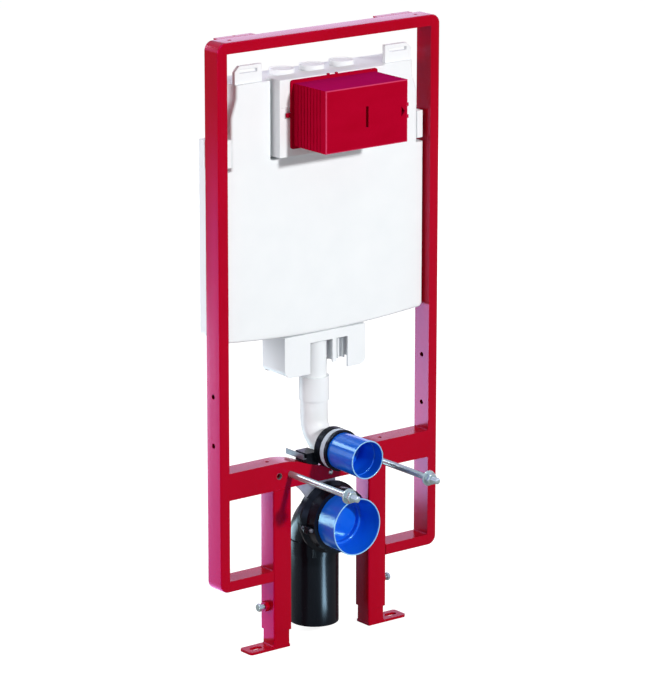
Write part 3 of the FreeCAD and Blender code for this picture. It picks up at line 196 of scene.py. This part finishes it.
def red_powder_coat():
    """Glossy powder coat: the fine orange peel of the baked film and a slow change in its depth."""
    finish = Finish(bpy.data.materials.new("red_powder_coat"))
    film = finish.noise(7.0, 3.0)
    peel = finish.noise(420.0, 2.0)
    grain = finish.noise(2400.0, 1.0)
    return finish.surface(
        base_color=finish.shade((0.38, 0.0002, 0.004), (0.45, 0.0004, 0.008), 0.5 + 1.6 * film),
        roughness=0.20 + 0.10 * film + 0.05 * grain,
        normal=finish.bump(peel, 0.00030, 0.16),
        specular_tint=(0.75, 0.04, 0.60, 1.0),
        specular_ior_level=0.55,
    )


def red_moulding():
    """Moulded red plastic: matt, with faint flow marks and fine grain, and a painted highlight along the
    box's front edges.
    """
    finish = Finish(bpy.data.materials.new("red_moulding"))
    flow = finish.noise(14.0, 3.0, (1.0, 1.0, 2.5))
    grain = finish.noise(1700.0, 2.0)
    # Masks of the painted highlight: near the box's front, and near its sides, top and bottom.
    front = finish.place("Y").near(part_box("protection_box")[0][1], BOX_EDGE_HIGHLIGHT)
    x = finish.place("X")
    z = finish.place("Z")
    sides = x.near(-BOX_HALF_WIDTH, BOX_EDGE_HIGHLIGHT) + x.near(BOX_HALF_WIDTH, BOX_EDGE_HIGHLIGHT)
    levels = z.near(BOX_TOP, BOX_EDGE_HIGHLIGHT) + z.near(BOX_TOP - BOX_HEIGHT, BOX_EDGE_HIGHLIGHT)
    skin = finish.shade((0.37, 0.0008, 0.014), (0.43, 0.0016, 0.022), 0.5 + 1.4 * flow)
    return finish.surface(
        # Paler pink where those masks meet is a painted highlight on the box's front edges.
        base_color=finish.shade(skin, (0.62, 0.05, 0.13), 2.2 * front * (sides + levels)),
        roughness=0.42 + 0.10 * flow + 0.06 * grain,
        normal=finish.bump(grain, 0.00012, 0.3),
        specular_ior_level=0.0,
        sheen_weight=0.12,
        sheen_roughness=0.4,
        sheen_tint=(0.75, 0.04, 1.0, 1.0),
    )


def white_moulding():
    """White blown and moulded plastic: slightly wavy walls, fine matt grain and a faint cool cast."""
    finish = Finish(bpy.data.materials.new("white_moulding"))
    wave = finish.noise(5.0, 2.0)
    cloud = finish.noise(18.0, 3.0)
    grain = finish.noise(1500.0, 2.0)
    wavy = finish.bump(wave, 0.0030, 0.25)
    return finish.surface(
        base_color=finish.shade((0.85, 0.885, 0.90), (0.89, 0.92, 0.93), 0.5 + 1.5 * cloud),
        roughness=0.42 + 0.12 * cloud + 0.08 * grain,
        normal=finish.bump(grain, 0.00012, 0.3, wavy),
        specular_ior_level=0.35,
    )


def black_moulding():
    """Black pipe plastic: satin, with drawn streaks along the pipe and fine scuffs."""
    finish = Finish(bpy.data.materials.new("black_moulding"))
    streak = finish.noise(60.0, 3.0, (1.0, 1.0, 0.12))
    scuff = finish.noise(320.0, 4.0)
    return finish.surface(
        base_color=finish.shade((0.0025, 0.003, 0.005), (0.007, 0.008, 0.011), 0.5 + 1.3 * streak),
        roughness=0.25 + 0.10 * streak + 0.05 * scuff,
        normal=finish.bump(scuff, 0.00012, 0.3),
        specular_tint=(0.60, 0.82, 1.0, 1.0),
        specular_ior_level=0.22,
    )


def blue_moulding(cap):
    """Glossy blue plastic of a cap: faint flow rings and fine grain, with a painted highlight along the thin
    edge of its mouth.
    """
    finish = Finish(bpy.data.materials.new(f"blue_moulding_{cap}"))
    flow = finish.noise(26.0, 3.0, (1.0, 2.4, 1.0))
    grain = finish.noise(1900.0, 2.0)
    rim_highlight = finish.place("Y").near(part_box(cap)[0][1], CAP_RIM_HIGHLIGHT)
    skin = finish.shade((0.0018, 0.105, 0.66), (0.007, 0.150, 0.80), 0.5 + 1.5 * flow)
    return finish.surface(
        # The pale blue at the mouth's edge is a painted highlight.
        base_color=finish.shade(skin, (0.30, 0.60, 0.90), 1.3 * rim_highlight),
        roughness=0.15 + 0.06 * flow + 0.03 * grain,
        normal=finish.bump(grain, 0.00008, 0.25),
        specular_tint=(0.50, 1.0, 1.0, 1.0),
        specular_ior_level=0.80,
    )


def grey_moulding():
    """Pale grey seal ring, matt."""
    finish = Finish(bpy.data.materials.new("grey_moulding"))
    cloud = finish.noise(70.0, 3.0)
    grain = finish.noise(1600.0, 2.0)
    return finish.surface(
        base_color=finish.shade((0.52, 0.61, 0.70), (0.63, 0.72, 0.81), 0.5 + 1.4 * cloud),
        roughness=0.48 + 0.10 * cloud,
        normal=finish.bump(grain, 0.00012, 0.3),
    )


def bright_zinc():
    """Bright zinc plating: metal with a faint cloudy spangle and a soft shine."""
    finish = Finish(bpy.data.materials.new("bright_zinc"))
    spangle = finish.noise(110.0, 2.0)
    rub = finish.noise(500.0, 2.0, (1.0, 0.15, 1.0))
    return finish.surface(
        base_color=finish.shade((0.47, 0.59, 0.60), (0.53, 0.65, 0.66), 0.5 + 1.3 * spangle),
        roughness=0.20 + 0.03 * spangle + 0.02 * rub,
        metallic=0.68,
        normal=finish.bump(rub, 0.00001, 0.05),
    )


def dull_zinc(name, shade):
    """Dipped zinc on sheet metal: half dull, with broad spangles; shade scales its brightness."""
    finish = Finish(bpy.data.materials.new(name))
    spangle = finish.noise(85.0, 3.0)
    grain = finish.noise(900.0, 2.0)
    dark = (0.34 * shade, 0.37 * shade, 0.43 * shade)
    light = (0.52 * shade, 0.55 * shade, 0.61 * shade)
    return finish.surface(
        base_color=finish.shade(dark, light, 0.5 + 1.6 * spangle),
        roughness=0.46 + 0.18 * spangle,
        metallic=0.75,
        normal=finish.bump(grain, 0.00008, 0.3),
    )


FINISHES = {
    "red_paint": red_powder_coat(),
    "red_plastic": red_moulding(),
    "white_plastic": white_moulding(),
    "black_plastic": black_moulding(),
    "blue_plastic": blue_moulding("waste_cap"),
    "grey_plastic": grey_moulding(),
    "zinc": bright_zinc(),
}
PIECE_FINISHES = {
    "flush_cap_skin": blue_moulding("flush_cap"),
    "waste_hanger_skin": dull_zinc("dull_zinc", 1.0),
    **dict.fromkeys(
        ("clamp_strip_skin", "collar_screw", "collar_screw_nut"), dull_zinc("dark_zinc", DARK_ZINC_SHADE),
    ),
}


# Meshes

SHARP_DEG = 32.0
FLAT_DEG = 0.5
BEVEL_SEGMENTS = 2

pieces_by_slot = {slot: [] for slot in FINISHES}


def add_piece(name, mesh, slot, body, stands_for=()):
    """An object for a finished mesh, on its body and in its own finish or that of its slot."""
    piece = bpy.data.objects.new(name, mesh)
    bpy.context.scene.collection.objects.link(piece)
    mesh.materials.append(PIECE_FINISHES.get(name, FINISHES[slot]))
    pieces_by_slot[slot].append(piece)
    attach(piece, body)
    if stands_for:
        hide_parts(*stands_for)
    return piece


def smooth(mesh, angle_deg):
    """Smooth shading, with edges above an angle kept sharp."""
    mesh.shade_smooth()
    mesh.set_sharp_from_angle(angle=math.radians(angle_deg))


def corners(node):
    """Lowest and highest corner of a solid's box."""
    return [np.array(corner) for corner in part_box(node)]


def around(count):
    """Angles of a number of points round a full turn."""
    return np.linspace(0.0, FULL_TURN, count, endpoint=False)


def grid_mesh(name, grid, ring):
    """Quads between the neighbours of a (rows, columns, 3) grid.

    Each row closes on itself, the last row joins the first in a ring, and poles are merged.
    """
    rows, columns = grid.shape[:2]
    row, column = np.meshgrid(np.arange(rows if ring else rows - 1), np.arange(columns), indexing="ij")
    below = (row + 1) % rows
    beside = (column + 1) % columns
    quads = np.stack([
        row * columns + column, row * columns + beside, below * columns + beside, below * columns + column,
    ], axis=-1).reshape(-1, 4)
    mesh = bpy.data.meshes.new(name)
    mesh.from_pydata(grid.reshape(-1, 3), [], quads.tolist())
    work = bmesh.new()
    work.from_mesh(mesh)
    bmesh.ops.remove_doubles(work, verts=work.verts, dist=MERGE)
    bmesh.ops.recalc_face_normals(work, faces=work.faces)
    work.to_mesh(mesh)
    work.free()
    return mesh


def add_grid(name, grid, sharp_deg, slot, body, stands_for=(), ring=False):
    """A piece from a grid of points, smooth up to an angle."""
    mesh = grid_mesh(name, grid, ring)
    smooth(mesh, sharp_deg)
    add_piece(name, mesh, slot, body, stands_for)


def add_skin(node, edge_mm):
    """Copy of a solid with merged corners and its sharp edges rounded, which stands for the solid."""
    source = frame["nodes"][node].data
    mesh = bpy.data.meshes.new(f"{node}_skin")
    places = np.empty(len(source.vertices) * 3, np.float32)
    source.vertices.foreach_get("co", places)
    mesh.from_pydata(places.reshape(-1, 3), [], [list(face.vertices) for face in source.polygons])
    work = bmesh.new()
    work.from_mesh(mesh)
    bmesh.ops.remove_doubles(work, verts=work.verts, dist=MERGE)
    bmesh.ops.dissolve_limit(work, angle_limit=math.radians(FLAT_DEG), verts=work.verts, edges=work.edges)
    work.to_mesh(mesh)
    work.free()
    smooth(mesh, SHARP_DEG)
    piece = add_piece(f"{node}_skin", mesh, slot_of[node], frame["nodes"][node]["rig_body"], (node,))
    bevel = piece.modifiers.new("edges", "BEVEL")
    bevel.width = edge_mm * MM
    bevel.segments = BEVEL_SEGMENTS
    bevel.limit_method = "ANGLE"
    bevel.angle_limit = math.radians(SHARP_DEG)
    bevel.harden_normals = True


SKIN_EDGES_MM = {
    "left_upright": 0.5, "right_upright": 0.5, "top_rail": 0.5, "cross_rail": 1.2,
    "left_bottom_rail": 0.5, "right_bottom_rail": 0.5, "left_leg": 0.5, "right_leg": 0.5,
    "left_inner_leg": 0.4, "right_inner_leg": 0.4, "left_foot_plate": 0.7, "right_foot_plate": 0.7,
    "left_wall_bracket": 0.5, "right_wall_bracket": 0.5, "rail_screw": 0.3, "stud_sleeves": 0.3,
    "left_stud_washer": 0.5, "right_stud_washer": 0.5, "clamp_strip": 0.4, "waste_hanger": 0.5,
    "cistern_tank": 1.5, "left_cistern_lug": 1.0, "right_cistern_lug": 1.0,
    "left_port_cap": 1.0, "middle_port_cap": 1.0, "right_port_cap": 1.0,
    "left_cistern_clip": 1.2, "right_cistern_clip": 1.2, "service_neck": 1.2,
    "outlet_skirt": 1.0, "flush_outlet": 0.5, "flush_pipe": 0.6,
    "protection_box": 0.5, "flush_clamp": 0.25, "flush_seal_ring": 0.8, "flush_lip_ring": 0.8,
    "flush_cap": 0.6, "waste_bend": 0.8, "waste_cap": 0.6,
}
for skin_node, skin_edge in SKIN_EDGES_MM.items():
    add_skin(skin_node, skin_edge)


# Threads, nuts and screws

THREAD_PITCH = 1.75 * MM
THREAD_DEPTH = 0.75 * MM
THREAD_LENGTH = 26 * MM
ROD_POINT = 1.4 * MM
ROWS_PER_THREAD = 6
ROD_TURNS = 28
THREAD_SHARP_DEG = 50.0

HEX_SIDES = 6
HEX_ROWS = (0.0, 0.02, 0.05, 0.09, 0.14, 0.2, 0.5, 0.8, 0.86, 0.91, 0.95, 0.98, 1.0)
HEX_TURNS = 72
HEX_SHARP_DEG = 30.0
CROWN_START = 0.48
CROWN_SLOPE = 1.7
STUD_NUT_BORE = 5.95 * MM

CLAMP_NUT_WIDTH = 17 * MM
CLAMP_NUT_BORE = 4.05 * MM
HEAD_WIDTH = 13 * MM
HEAD_HEIGHT = 5.5 * MM
SCREW_PITCH = 1.25 * MM
SCREW_DEPTH = 0.55 * MM
SCREW_RADIUS = 4.0 * MM
SCREW_POINT = 1.2 * MM


def thread_wave(turn_share):
    """Depth share of a thread at a share of its turn: a triangle wave with flattened crest and root."""
    triangle = np.abs(2.0 * (turn_share - np.floor(turn_share)) - 1.0)
    return np.clip(1.4 * triangle - 0.2, 0.0, 1.0)


def add_threaded_rod(node):
    """Rod along Y, threaded and pointed at both ends.

    There its radius at (y, t) is outer - depth * wave(y / pitch - t / turn), and outer on the plain
    shank between.
    """
    low, high = corners(node)
    outer = (high[0] - low[0]) / 2
    centre = (low + high) / 2
    half = (high[1] - low[1]) / 2
    rows = int(2 * half / THREAD_PITCH * ROWS_PER_THREAD)
    along = np.linspace(-half, half, rows)[:, None]
    angle = around(ROD_TURNS)[None, :]
    cut = np.clip((np.abs(along) - half + THREAD_LENGTH) / THREAD_PITCH, 0.0, 1.0)
    depth = cut * THREAD_DEPTH * thread_wave(along / THREAD_PITCH - angle / FULL_TURN)
    point = np.clip(outer - ROD_POINT + (half - np.abs(along)), 0.0, outer)
    radius = np.minimum(outer - depth, point)
    grid = np.stack([
        centre[0] + radius * np.cos(angle), centre[1] + along + 0 * angle, centre[2] + radius * np.sin(angle),
    ], axis=-1)
    tips = np.stack([np.broadcast_to(centre + (0, end, 0), grid[0].shape) for end in (-half, half)])
    grid = np.concatenate([tips[:1], grid, tips[1:]])
    body = frame["nodes"][node]["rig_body"]
    add_grid(f"{node}_thread", grid, THREAD_SHARP_DEG, slot_of[node], body, (node,))


def hex_radius(angle, width):
    """Distance from the middle to a hexagon's side at an angle, for its width across flats."""
    sector = FULL_TURN / HEX_SIDES
    within = np.mod(angle, sector) - sector / 2
    return width / 2 / np.cos(within)


def hex_prism(width, height, bore, crown):
    """Hexagon along Y with crowned ends, hollow where bore is above 0.

    Outside, the radius at (y, t) is the smaller of the hexagon's and of a cone that begins with a share
    of the width at each end and grows by slope times the distance from that end; crown says which ends
    have the cone.
    """
    along = np.array(HEX_ROWS)[:, None] * height
    angle = around(HEX_TURNS)[None, :]
    away = np.full_like(along, height)
    if "low" in crown:
        away = np.minimum(away, along)
    if "high" in crown:
        away = np.minimum(away, height - along)
    radius = np.minimum(hex_radius(angle, width), CROWN_START * width + CROWN_SLOPE * away)
    inner = np.full((1, HEX_TURNS), bore)
    radius = np.concatenate([inner, radius, inner])
    along = np.concatenate([along[:1], along, along[-1:]]) + 0 * radius
    return np.stack([radius * np.cos(angle), along, radius * np.sin(angle)], axis=-1)


def add_stud_nut(side):
    """Crowned nut on a stud."""
    node = f"{SIDE_NAMES[side]}_stud_nut"
    low, high = corners(node)
    grid = hex_prism(high[2] - low[2], high[1] - low[1], STUD_NUT_BORE, ("low", "high"))
    grid += ((low[0] + high[0]) / 2, low[1], (low[2] + high[2]) / 2)
    add_grid(f"{node}_crowned", grid, HEX_SHARP_DEG, slot_of[node], "frame", (node,), ring=True)


def along_x(grid, side):
    """Turns a grid made along Y so that it runs outwards along X on one side."""
    x, y, z = np.moveaxis(grid, -1, 0)
    return np.stack([side * y, x, z], axis=-1)


def add_clamp_nut(side):
    """Painted nut on a leg, crowned on its outer end."""
    node = f"{SIDE_NAMES[side]}_clamp_nut"
    low, high = corners(node)
    inner_x = low[0] if side == RIGHT else high[0]
    grid = along_x(hex_prism(CLAMP_NUT_WIDTH, high[0] - low[0], CLAMP_NUT_BORE, ("high",)), side)
    grid += (inner_x, 0.0, (low[2] + high[2]) / 2)
    add_grid(f"{node}_crowned", grid, HEX_SHARP_DEG, "red_paint", "frame", (node,), ring=True)


def add_clamp_screw(side):
    """Zinc screw in a clamp nut, with a crowned head and a threaded shank.

    The shank's radius at (x, t) is outer - depth * wave(x / pitch - t / turn), with a blunt point.
    """
    node = f"{SIDE_NAMES[side]}_clamp_screw"
    low, high = corners(node)
    tip_x = low[0] if side == RIGHT else high[0]
    middle = (low[2] + high[2]) / 2
    shank = high[0] - low[0] - HEAD_HEIGHT
    head = along_x(hex_prism(HEAD_WIDTH, HEAD_HEIGHT, 0.0, ("high",)), side)
    head += (tip_x + side * shank, 0.0, middle)
    add_grid(f"{node}_head", head, HEX_SHARP_DEG, "zinc", "frame", (node,))

    along = np.linspace(0.0, shank, int(shank / SCREW_PITCH * ROWS_PER_THREAD))[:, None]
    angle = around(ROD_TURNS)[None, :]
    radius = SCREW_RADIUS - SCREW_DEPTH * thread_wave(along / SCREW_PITCH - angle / FULL_TURN)
    radius[0] = SCREW_RADIUS - SCREW_POINT
    grid = np.stack([radius * np.cos(angle), along + 0 * angle, radius * np.sin(angle)], axis=-1)
    tip = np.zeros((1, ROD_TURNS, 3))
    thread = along_x(np.concatenate([tip, grid]), side) + (tip_x, 0.0, middle)
    add_grid(f"{node}_shank", thread, THREAD_SHARP_DEG, "zinc", "frame")


for stud_side in SIDE_NAMES:
    add_threaded_rod(f"{SIDE_NAMES[stud_side]}_stud")
    add_stud_nut(stud_side)
for clamp_side in SIDE_NAMES:
    add_clamp_nut(clamp_side)
    add_clamp_screw(clamp_side)


# Weld beads

BEAD_TURNS = 12
BEAD_RIPPLE = 2.6 * MM
BEAD_SWELL = 0.14
ROWS_PER_RIPPLE = 6
ROUND_SHARP_DEG = 60.0

# Beads along Y: name, distance from the middle, half length, height and radius
FRAME_BEADS_MM = (
    ("leg_bead_top", 128, 19, 150, 1.6),
    ("leg_bead_under", 128, 17, 130, 1.4),
    ("rail_bead_top", 225, 19, 350, 1.5),
    ("rail_bead_under", 225, 19, 300, 1.5),
    ("corner_bead_top", 225, 19, 1100, 1.5),
    ("corner_bead_low", 225, 19, 150, 1.5),
)
FOOT_BEAD_MM = ("foot_bead", 125.5, 16, 5, 2.6)
SEAM_ENDS_MM = (90, 126)
SEAM_DEPTH_MM = -19.4
SEAM_RADIUS_MM = 1.3


def add_bead(name, start, end, radius, body):
    """Weld bead between two points at one height, in millimetres.

    A tube whose radius at s is base * (1 + swell * |sin(pi s / ripple)|), rounded off at its ends.
    """
    start = np.array(start) * MM
    end = np.array(end) * MM
    base = radius * MM
    length = np.linalg.norm(end - start)
    direction = (end - start) / length
    across = np.cross(direction, (0.0, 0.0, 1.0))
    up = np.cross(direction, across)
    along = np.linspace(0.0, length, int(length / BEAD_RIPPLE * ROWS_PER_RIPPLE))[:, None]
    angle = around(BEAD_TURNS)[None, :]
    ripple = 1.0 + BEAD_SWELL * np.abs(np.sin(np.pi * along / BEAD_RIPPLE))
    from_end = np.minimum(along, length - along) / base
    taper = np.sqrt(np.clip(1.0 - np.clip(1.0 - from_end, 0.0, 1.0) ** 2, 0.0, 1.0))
    reach = base * ripple * taper
    grid = (
        start + along[..., None] * direction
        + (reach * np.cos(angle))[..., None] * across + (reach * np.sin(angle))[..., None] * up
    )
    add_grid(name, grid, ROUND_SHARP_DEG, "red_paint", body)


def add_cross_bead(side, bead, body):
    """One side's bead along Y, from its row of numbers."""
    name, away, half, z, radius = bead
    x = side * away
    add_bead(f"{SIDE_NAMES[side]}_{name}", (x, -half, z), (x, half, z), radius, body)


def add_leg_seam(side):
    """Seam along X where the front of a leg meets the cross rail."""
    name = SIDE_NAMES[side]
    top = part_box(f"{name}_leg")[1][2] / MM
    start, end = ((side * x, SEAM_DEPTH_MM, top) for x in SEAM_ENDS_MM)
    add_bead(f"{name}_leg_seam", start, end, SEAM_RADIUS_MM, "frame")


for bead_side in SIDE_NAMES:
    for frame_bead in FRAME_BEADS_MM:
        add_cross_bead(bead_side, frame_bead, "frame")
    add_leg_seam(bead_side)
    add_cross_bead(bead_side, FOOT_BEAD_MM, "feet")


# Clamp screw on the collar and plating in the spare sleeves

BLOCK_TURNS = 48
BLOCK_ROWS = 25
BLOCK_POWER = 0.28
TURNED_SHARP_DEG = 40.0
TURNED_TURNS = 40

BOSS_CENTRE_MM = (-62.5, -33, 219)
BOSS_HALF_MM = (5, 8, 7)
COLLAR_SCREW_AXIS_MM = (-63.5, 0, 220)
COLLAR_SCREW_MM = (
    (-48, 0), (-48, 2.6), (-47.4, 3.6), (-46, 4.2), (-44.5, 4.2),
    (-44.5, 2.2), (-19, 2.2), (-18, 1.4), (-18, 0),
)
COLLAR_NUT_MM = ((-25, 2.2), (-25, 4.6), (-24.6, 5.0), (-21.6, 5.0), (-21.2, 4.6), (-21.2, 2.2))
SPARE_SLEEVE_AWAY_MM = 115
SLEEVE_PLATING_MM = ((-19.8, 5.97), (-19.8, 5.80), (-13, 5.80), (-13, 5.97))


def soft(wave):
    """A sine or cosine raised to the block's power, with its sign kept."""
    return np.sign(wave) * np.abs(wave) ** BLOCK_POWER


def add_rounded_block(name, centre, half, slot, body):
    """Block with round edges, from millimetres: a superquadric.

    At height angle v and turn angle t the point is centre + (a c(v) c(t), b c(v) s(t), h s(v)), where c
    and s are the soft cosine and sine.
    """
    rise = np.linspace(-np.pi / 2, np.pi / 2, BLOCK_ROWS)[:, None]
    turn = around(BLOCK_TURNS)[None, :]
    a, b, h = np.array(half) * MM
    ring = soft(np.clip(np.cos(rise), 0.0, None))
    grid = np.stack([
        a * ring * soft(np.cos(turn)), b * ring * soft(np.sin(turn)), h * soft(np.sin(rise)) + 0 * turn,
    ], axis=-1) + np.array(centre) * MM
    add_grid(name, grid, ROUND_SHARP_DEG, slot, body)


def add_turned(name, profile, centre, slot, body, turns=TURNED_TURNS):
    """Piece turned from a profile of points (along, radius) about the Y axis through a centre.

    Point i at angle t is centre + (radius_i cos t, along_i, radius_i sin t), from millimetres.
    """
    along, radius = (np.array(profile, float) * MM).T[..., None]
    angle = around(turns)
    grid = np.stack([radius * np.cos(angle), along + 0 * angle, radius * np.sin(angle)], axis=-1)
    add_grid(name, grid + np.array(centre) * MM, TURNED_SHARP_DEG, slot, body)


add_rounded_block("collar_screw_boss", BOSS_CENTRE_MM, BOSS_HALF_MM, "black_plastic", "frame")
add_turned("collar_screw", COLLAR_SCREW_MM, COLLAR_SCREW_AXIS_MM, "zinc", "frame")
add_turned("collar_screw_nut", COLLAR_NUT_MM, COLLAR_SCREW_AXIS_MM, "zinc", "frame", HEX_SIDES)

stud_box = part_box("left_stud")
stud_level = (stud_box[0][2] + stud_box[1][2]) / 2 / MM
for sleeve_side, sleeve_name in SIDE_NAMES.items():
    sleeve_axis = (SPARE_SLEEVE_AWAY_MM * sleeve_side, 0, stud_level)
    add_turned(f"{sleeve_name}_sleeve_plating", SLEEVE_PLATING_MM, sleeve_axis, "zinc", "frame")


# Floor, light and camera

FLOOR_HALF = 30.0
FLOOR_GLOW = 0.86
FLOOR_MIRRORED_GLOW = 0.06
SOFT_LIGHT = 0.34
SKY_RISE = (0.36, 0.62)
SKY_DIM = 0.25
HORIZON_FADE = (0.26, 0.34)
HORIZON_BRIGHT = 1.8
WHITE = (1.0, 1.0, 1.0)
PART_MIDDLE = (0.0, 0.0, 0.6)
SENSOR_WIDTH = 36.0
LENS = 201.62
CAMERA_PLACE = (-4.1259, -5.3602, 2.3615)
CAMERA_YAW_DEG = 37.565
CAMERA_PITCH_DEG = 15.11
CAMERA_ROLL_DEG = 0.015


def add_floor():
    """Pale floor that looks white to the camera and keeps the shadow."""
    mesh = bpy.data.meshes.new("floor")
    h = FLOOR_HALF
    mesh.from_pydata([(-h, -h, 0), (h, -h, 0), (h, h, 0), (-h, h, 0)], [], [(0, 1, 2, 3)])
    floor = bpy.data.objects.new("floor", mesh)
    bpy.context.scene.collection.objects.link(floor)
    finish = Finish(bpy.data.materials.new("floor"))
    seen = finish.ray("Camera")
    mirrored = finish.ray("Glossy")
    through = finish.ray("Transmission")
    cloud = finish.noise(0.7, 2.0)
    colour = finish.shade((0.37, 0.37, 0.37), (0.40, 0.40, 0.40), 0.5 + cloud)
    paint = finish.node("ShaderNodeBsdfDiffuse", inputs={"Color": colour})
    strength = FLOOR_GLOW * seen + FLOOR_MIRRORED_GLOW * (mirrored + through)
    glow = finish.node("ShaderNodeEmission", inputs={"Color": (*WHITE, 1.0), "Strength": strength})
    both = finish.node("ShaderNodeAddShader", inputs={0: paint, 1: glow})
    finish.node("ShaderNodeOutputMaterial", inputs={"Surface": both})
    mesh.materials.append(finish.owner)


def look_along(direction):
    """Turn that points -Z along a direction with Y as near to up as it goes."""
    forward = np.array(direction, float) / np.linalg.norm(direction)
    right = np.cross(forward, (0.0, 0.0, 1.0))
    right /= np.linalg.norm(right)
    up = np.cross(right, forward)
    turn = np.eye(4)
    turn[:3, :3] = np.stack([right, up, -forward], axis=1)
    return Matrix(turn)


def add_area_light(name, place, target, size, power, colour, lights=True, mirrored=True):
    """Soft lamp at a place, turned to its target; it may light the object, show in its gloss, or both."""
    lamp = bpy.data.lights.new(name, "AREA")
    lamp.shape = "RECTANGLE"
    lamp.size, lamp.size_y = size
    lamp.energy = power
    lamp.color = colour
    holder = bpy.data.objects.new(name, lamp)
    holder.visible_camera = False
    holder.visible_diffuse = lights
    holder.visible_glossy = mirrored
    bpy.context.scene.collection.objects.link(holder)
    direction = np.array(target) - np.array(place)
    holder.matrix_world = Matrix.Translation(place) @ look_along(direction)
    return holder


def light_only(holder, pieces, past_others=False):
    """Keeps a lamp's light to these pieces; past_others lets no other piece shade them from it."""
    lit = bpy.data.collections.new(f"lit_by_{holder.name}")
    for piece in pieces:
        lit.objects.link(piece)
    holder.light_linking.receiver_collection = lit
    if past_others:
        holder.light_linking.blocker_collection = lit


def add_lamps():
    """Key and panels that light the object, and lamps that show in its gloss alone.

    Those on the floor face up, and the small offsets of their targets turn their long sides.
    """
    add_area_light("key", (0.75, -6.6, 3.24), PART_MIDDLE, (0.39, 0.39), 380.0, WHITE)
    add_area_light("left_panel", (-2.6, 0.5, 1.5), PART_MIDDLE, (1.7, 1.6), 44.0, (0.97, 0.95, 1.0))
    add_area_light(
        "floor_patch", (-0.71, 1.35, 0.012), (-0.7106, 1.3508, 1.0), (0.56, 2.0), 27.0, (0.62, 0.88, 1.0),
        lights=False,
    )
    floor_haze = add_area_light(
        "floor_haze", (-1.65, 1.75, 0.010), (-1.6506, 1.7508, 1.0), (0.56, 4.6), 21.0, (0.90, 0.30, 1.0),
        lights=False,
    )
    light_only(floor_haze, pieces_by_slot["red_paint"])
    add_area_light(
        "rear_strip", (-0.8, 1.6, 1.6), (0.0, -0.06, 0.35), (0.5, 0.6), 6.0, (0.96, 0.98, 1.0), lights=False,
    )
    pipe_strip = add_area_light(
        "pipe_strip", (0.05, -0.43, 0.012), (0.0501, -0.431, 1.0), (0.06, 0.6), 4.2, (0.78, 0.92, 1.0),
        lights=False,
    )
    light_only(pipe_strip, [bpy.data.objects["waste_bend_skin"]])
    cap_strip = add_area_light(
        "cap_strip", (-0.437, 0.39, 0.306), (-0.05, -0.062, 0.24), (0.06, 0.26), 5.0, (0.85, 0.96, 1.0),
        lights=False,
    )
    light_only(cap_strip, [bpy.data.objects["waste_cap_skin"]], past_others=True)
    add_area_light(
        "back_panel", (2.6, 3.3, 1.55), (0.0, 0.0, 0.8), (2.6, 1.6), 62.0, (0.98, 0.98, 1.0), mirrored=False,
    )
    add_area_light("top", (-0.4, 0.5, 3.6), PART_MIDDLE, (1.6, 1.6), 8.0, (0.96, 0.97, 1.0))


def add_world():
    """Surroundings: soft light on the object and white to the camera.

    In reflections they are pale near the horizon and high up, and dim violet between the two. Heights
    are sines of the angle above the horizon.
    """
    sky = Finish(bpy.data.worlds.new("surroundings"))
    bpy.context.scene.world = sky.owner
    seen = sky.ray("Camera")
    mirrored = sky.ray("Glossy")
    through = sky.ray("Transmission")
    direction = sky.node("ShaderNodeTexCoord", output="Generated")
    height = sky.node("ShaderNodeSeparateXYZ", inputs={"Vector": direction}, output="Z")
    bright = sky.ramp(height, *SKY_RISE, SKY_DIM, 1.0) + sky.ramp(height, *HORIZON_FADE, HORIZON_BRIGHT, 0.0)
    tint = sky.shade((0.58, 0.46, 1.0), (0.78, 0.72, 1.0), bright)
    plain = sky.shade((0.97, 0.98, 1.0), WHITE, seen)
    colour = sky.shade(plain, tint, mirrored)
    soft_light = SOFT_LIGHT * (1.0 - (seen + mirrored + through))
    strength = soft_light + seen + bright * (mirrored + through)
    light = sky.node("ShaderNodeBackground", inputs={"Color": colour, "Strength": strength})
    sky.node("ShaderNodeOutputWorld", inputs={"Surface": light})


def add_camera():
    """Camera at the photograph's viewing angle, without shift or depth of field."""
    camera = bpy.data.cameras.new("camera")
    camera.sensor_width = SENSOR_WIDTH
    camera.lens = LENS
    holder = bpy.data.objects.new("camera", camera)
    bpy.context.scene.collection.objects.link(holder)
    yaw = math.radians(CAMERA_YAW_DEG)
    pitch = math.radians(CAMERA_PITCH_DEG)
    forward = (math.sin(yaw) * math.cos(pitch), math.cos(yaw) * math.cos(pitch), -math.sin(pitch))
    turn = look_along(forward) @ Matrix.Rotation(math.radians(CAMERA_ROLL_DEG), 4, "Z")
    holder.matrix_world = Matrix.Translation(CAMERA_PLACE) @ turn
    bpy.context.scene.camera = holder


add_floor()
add_lamps()
add_world()
add_camera()
bpy.context.scene.view_settings.view_transform = "Standard"
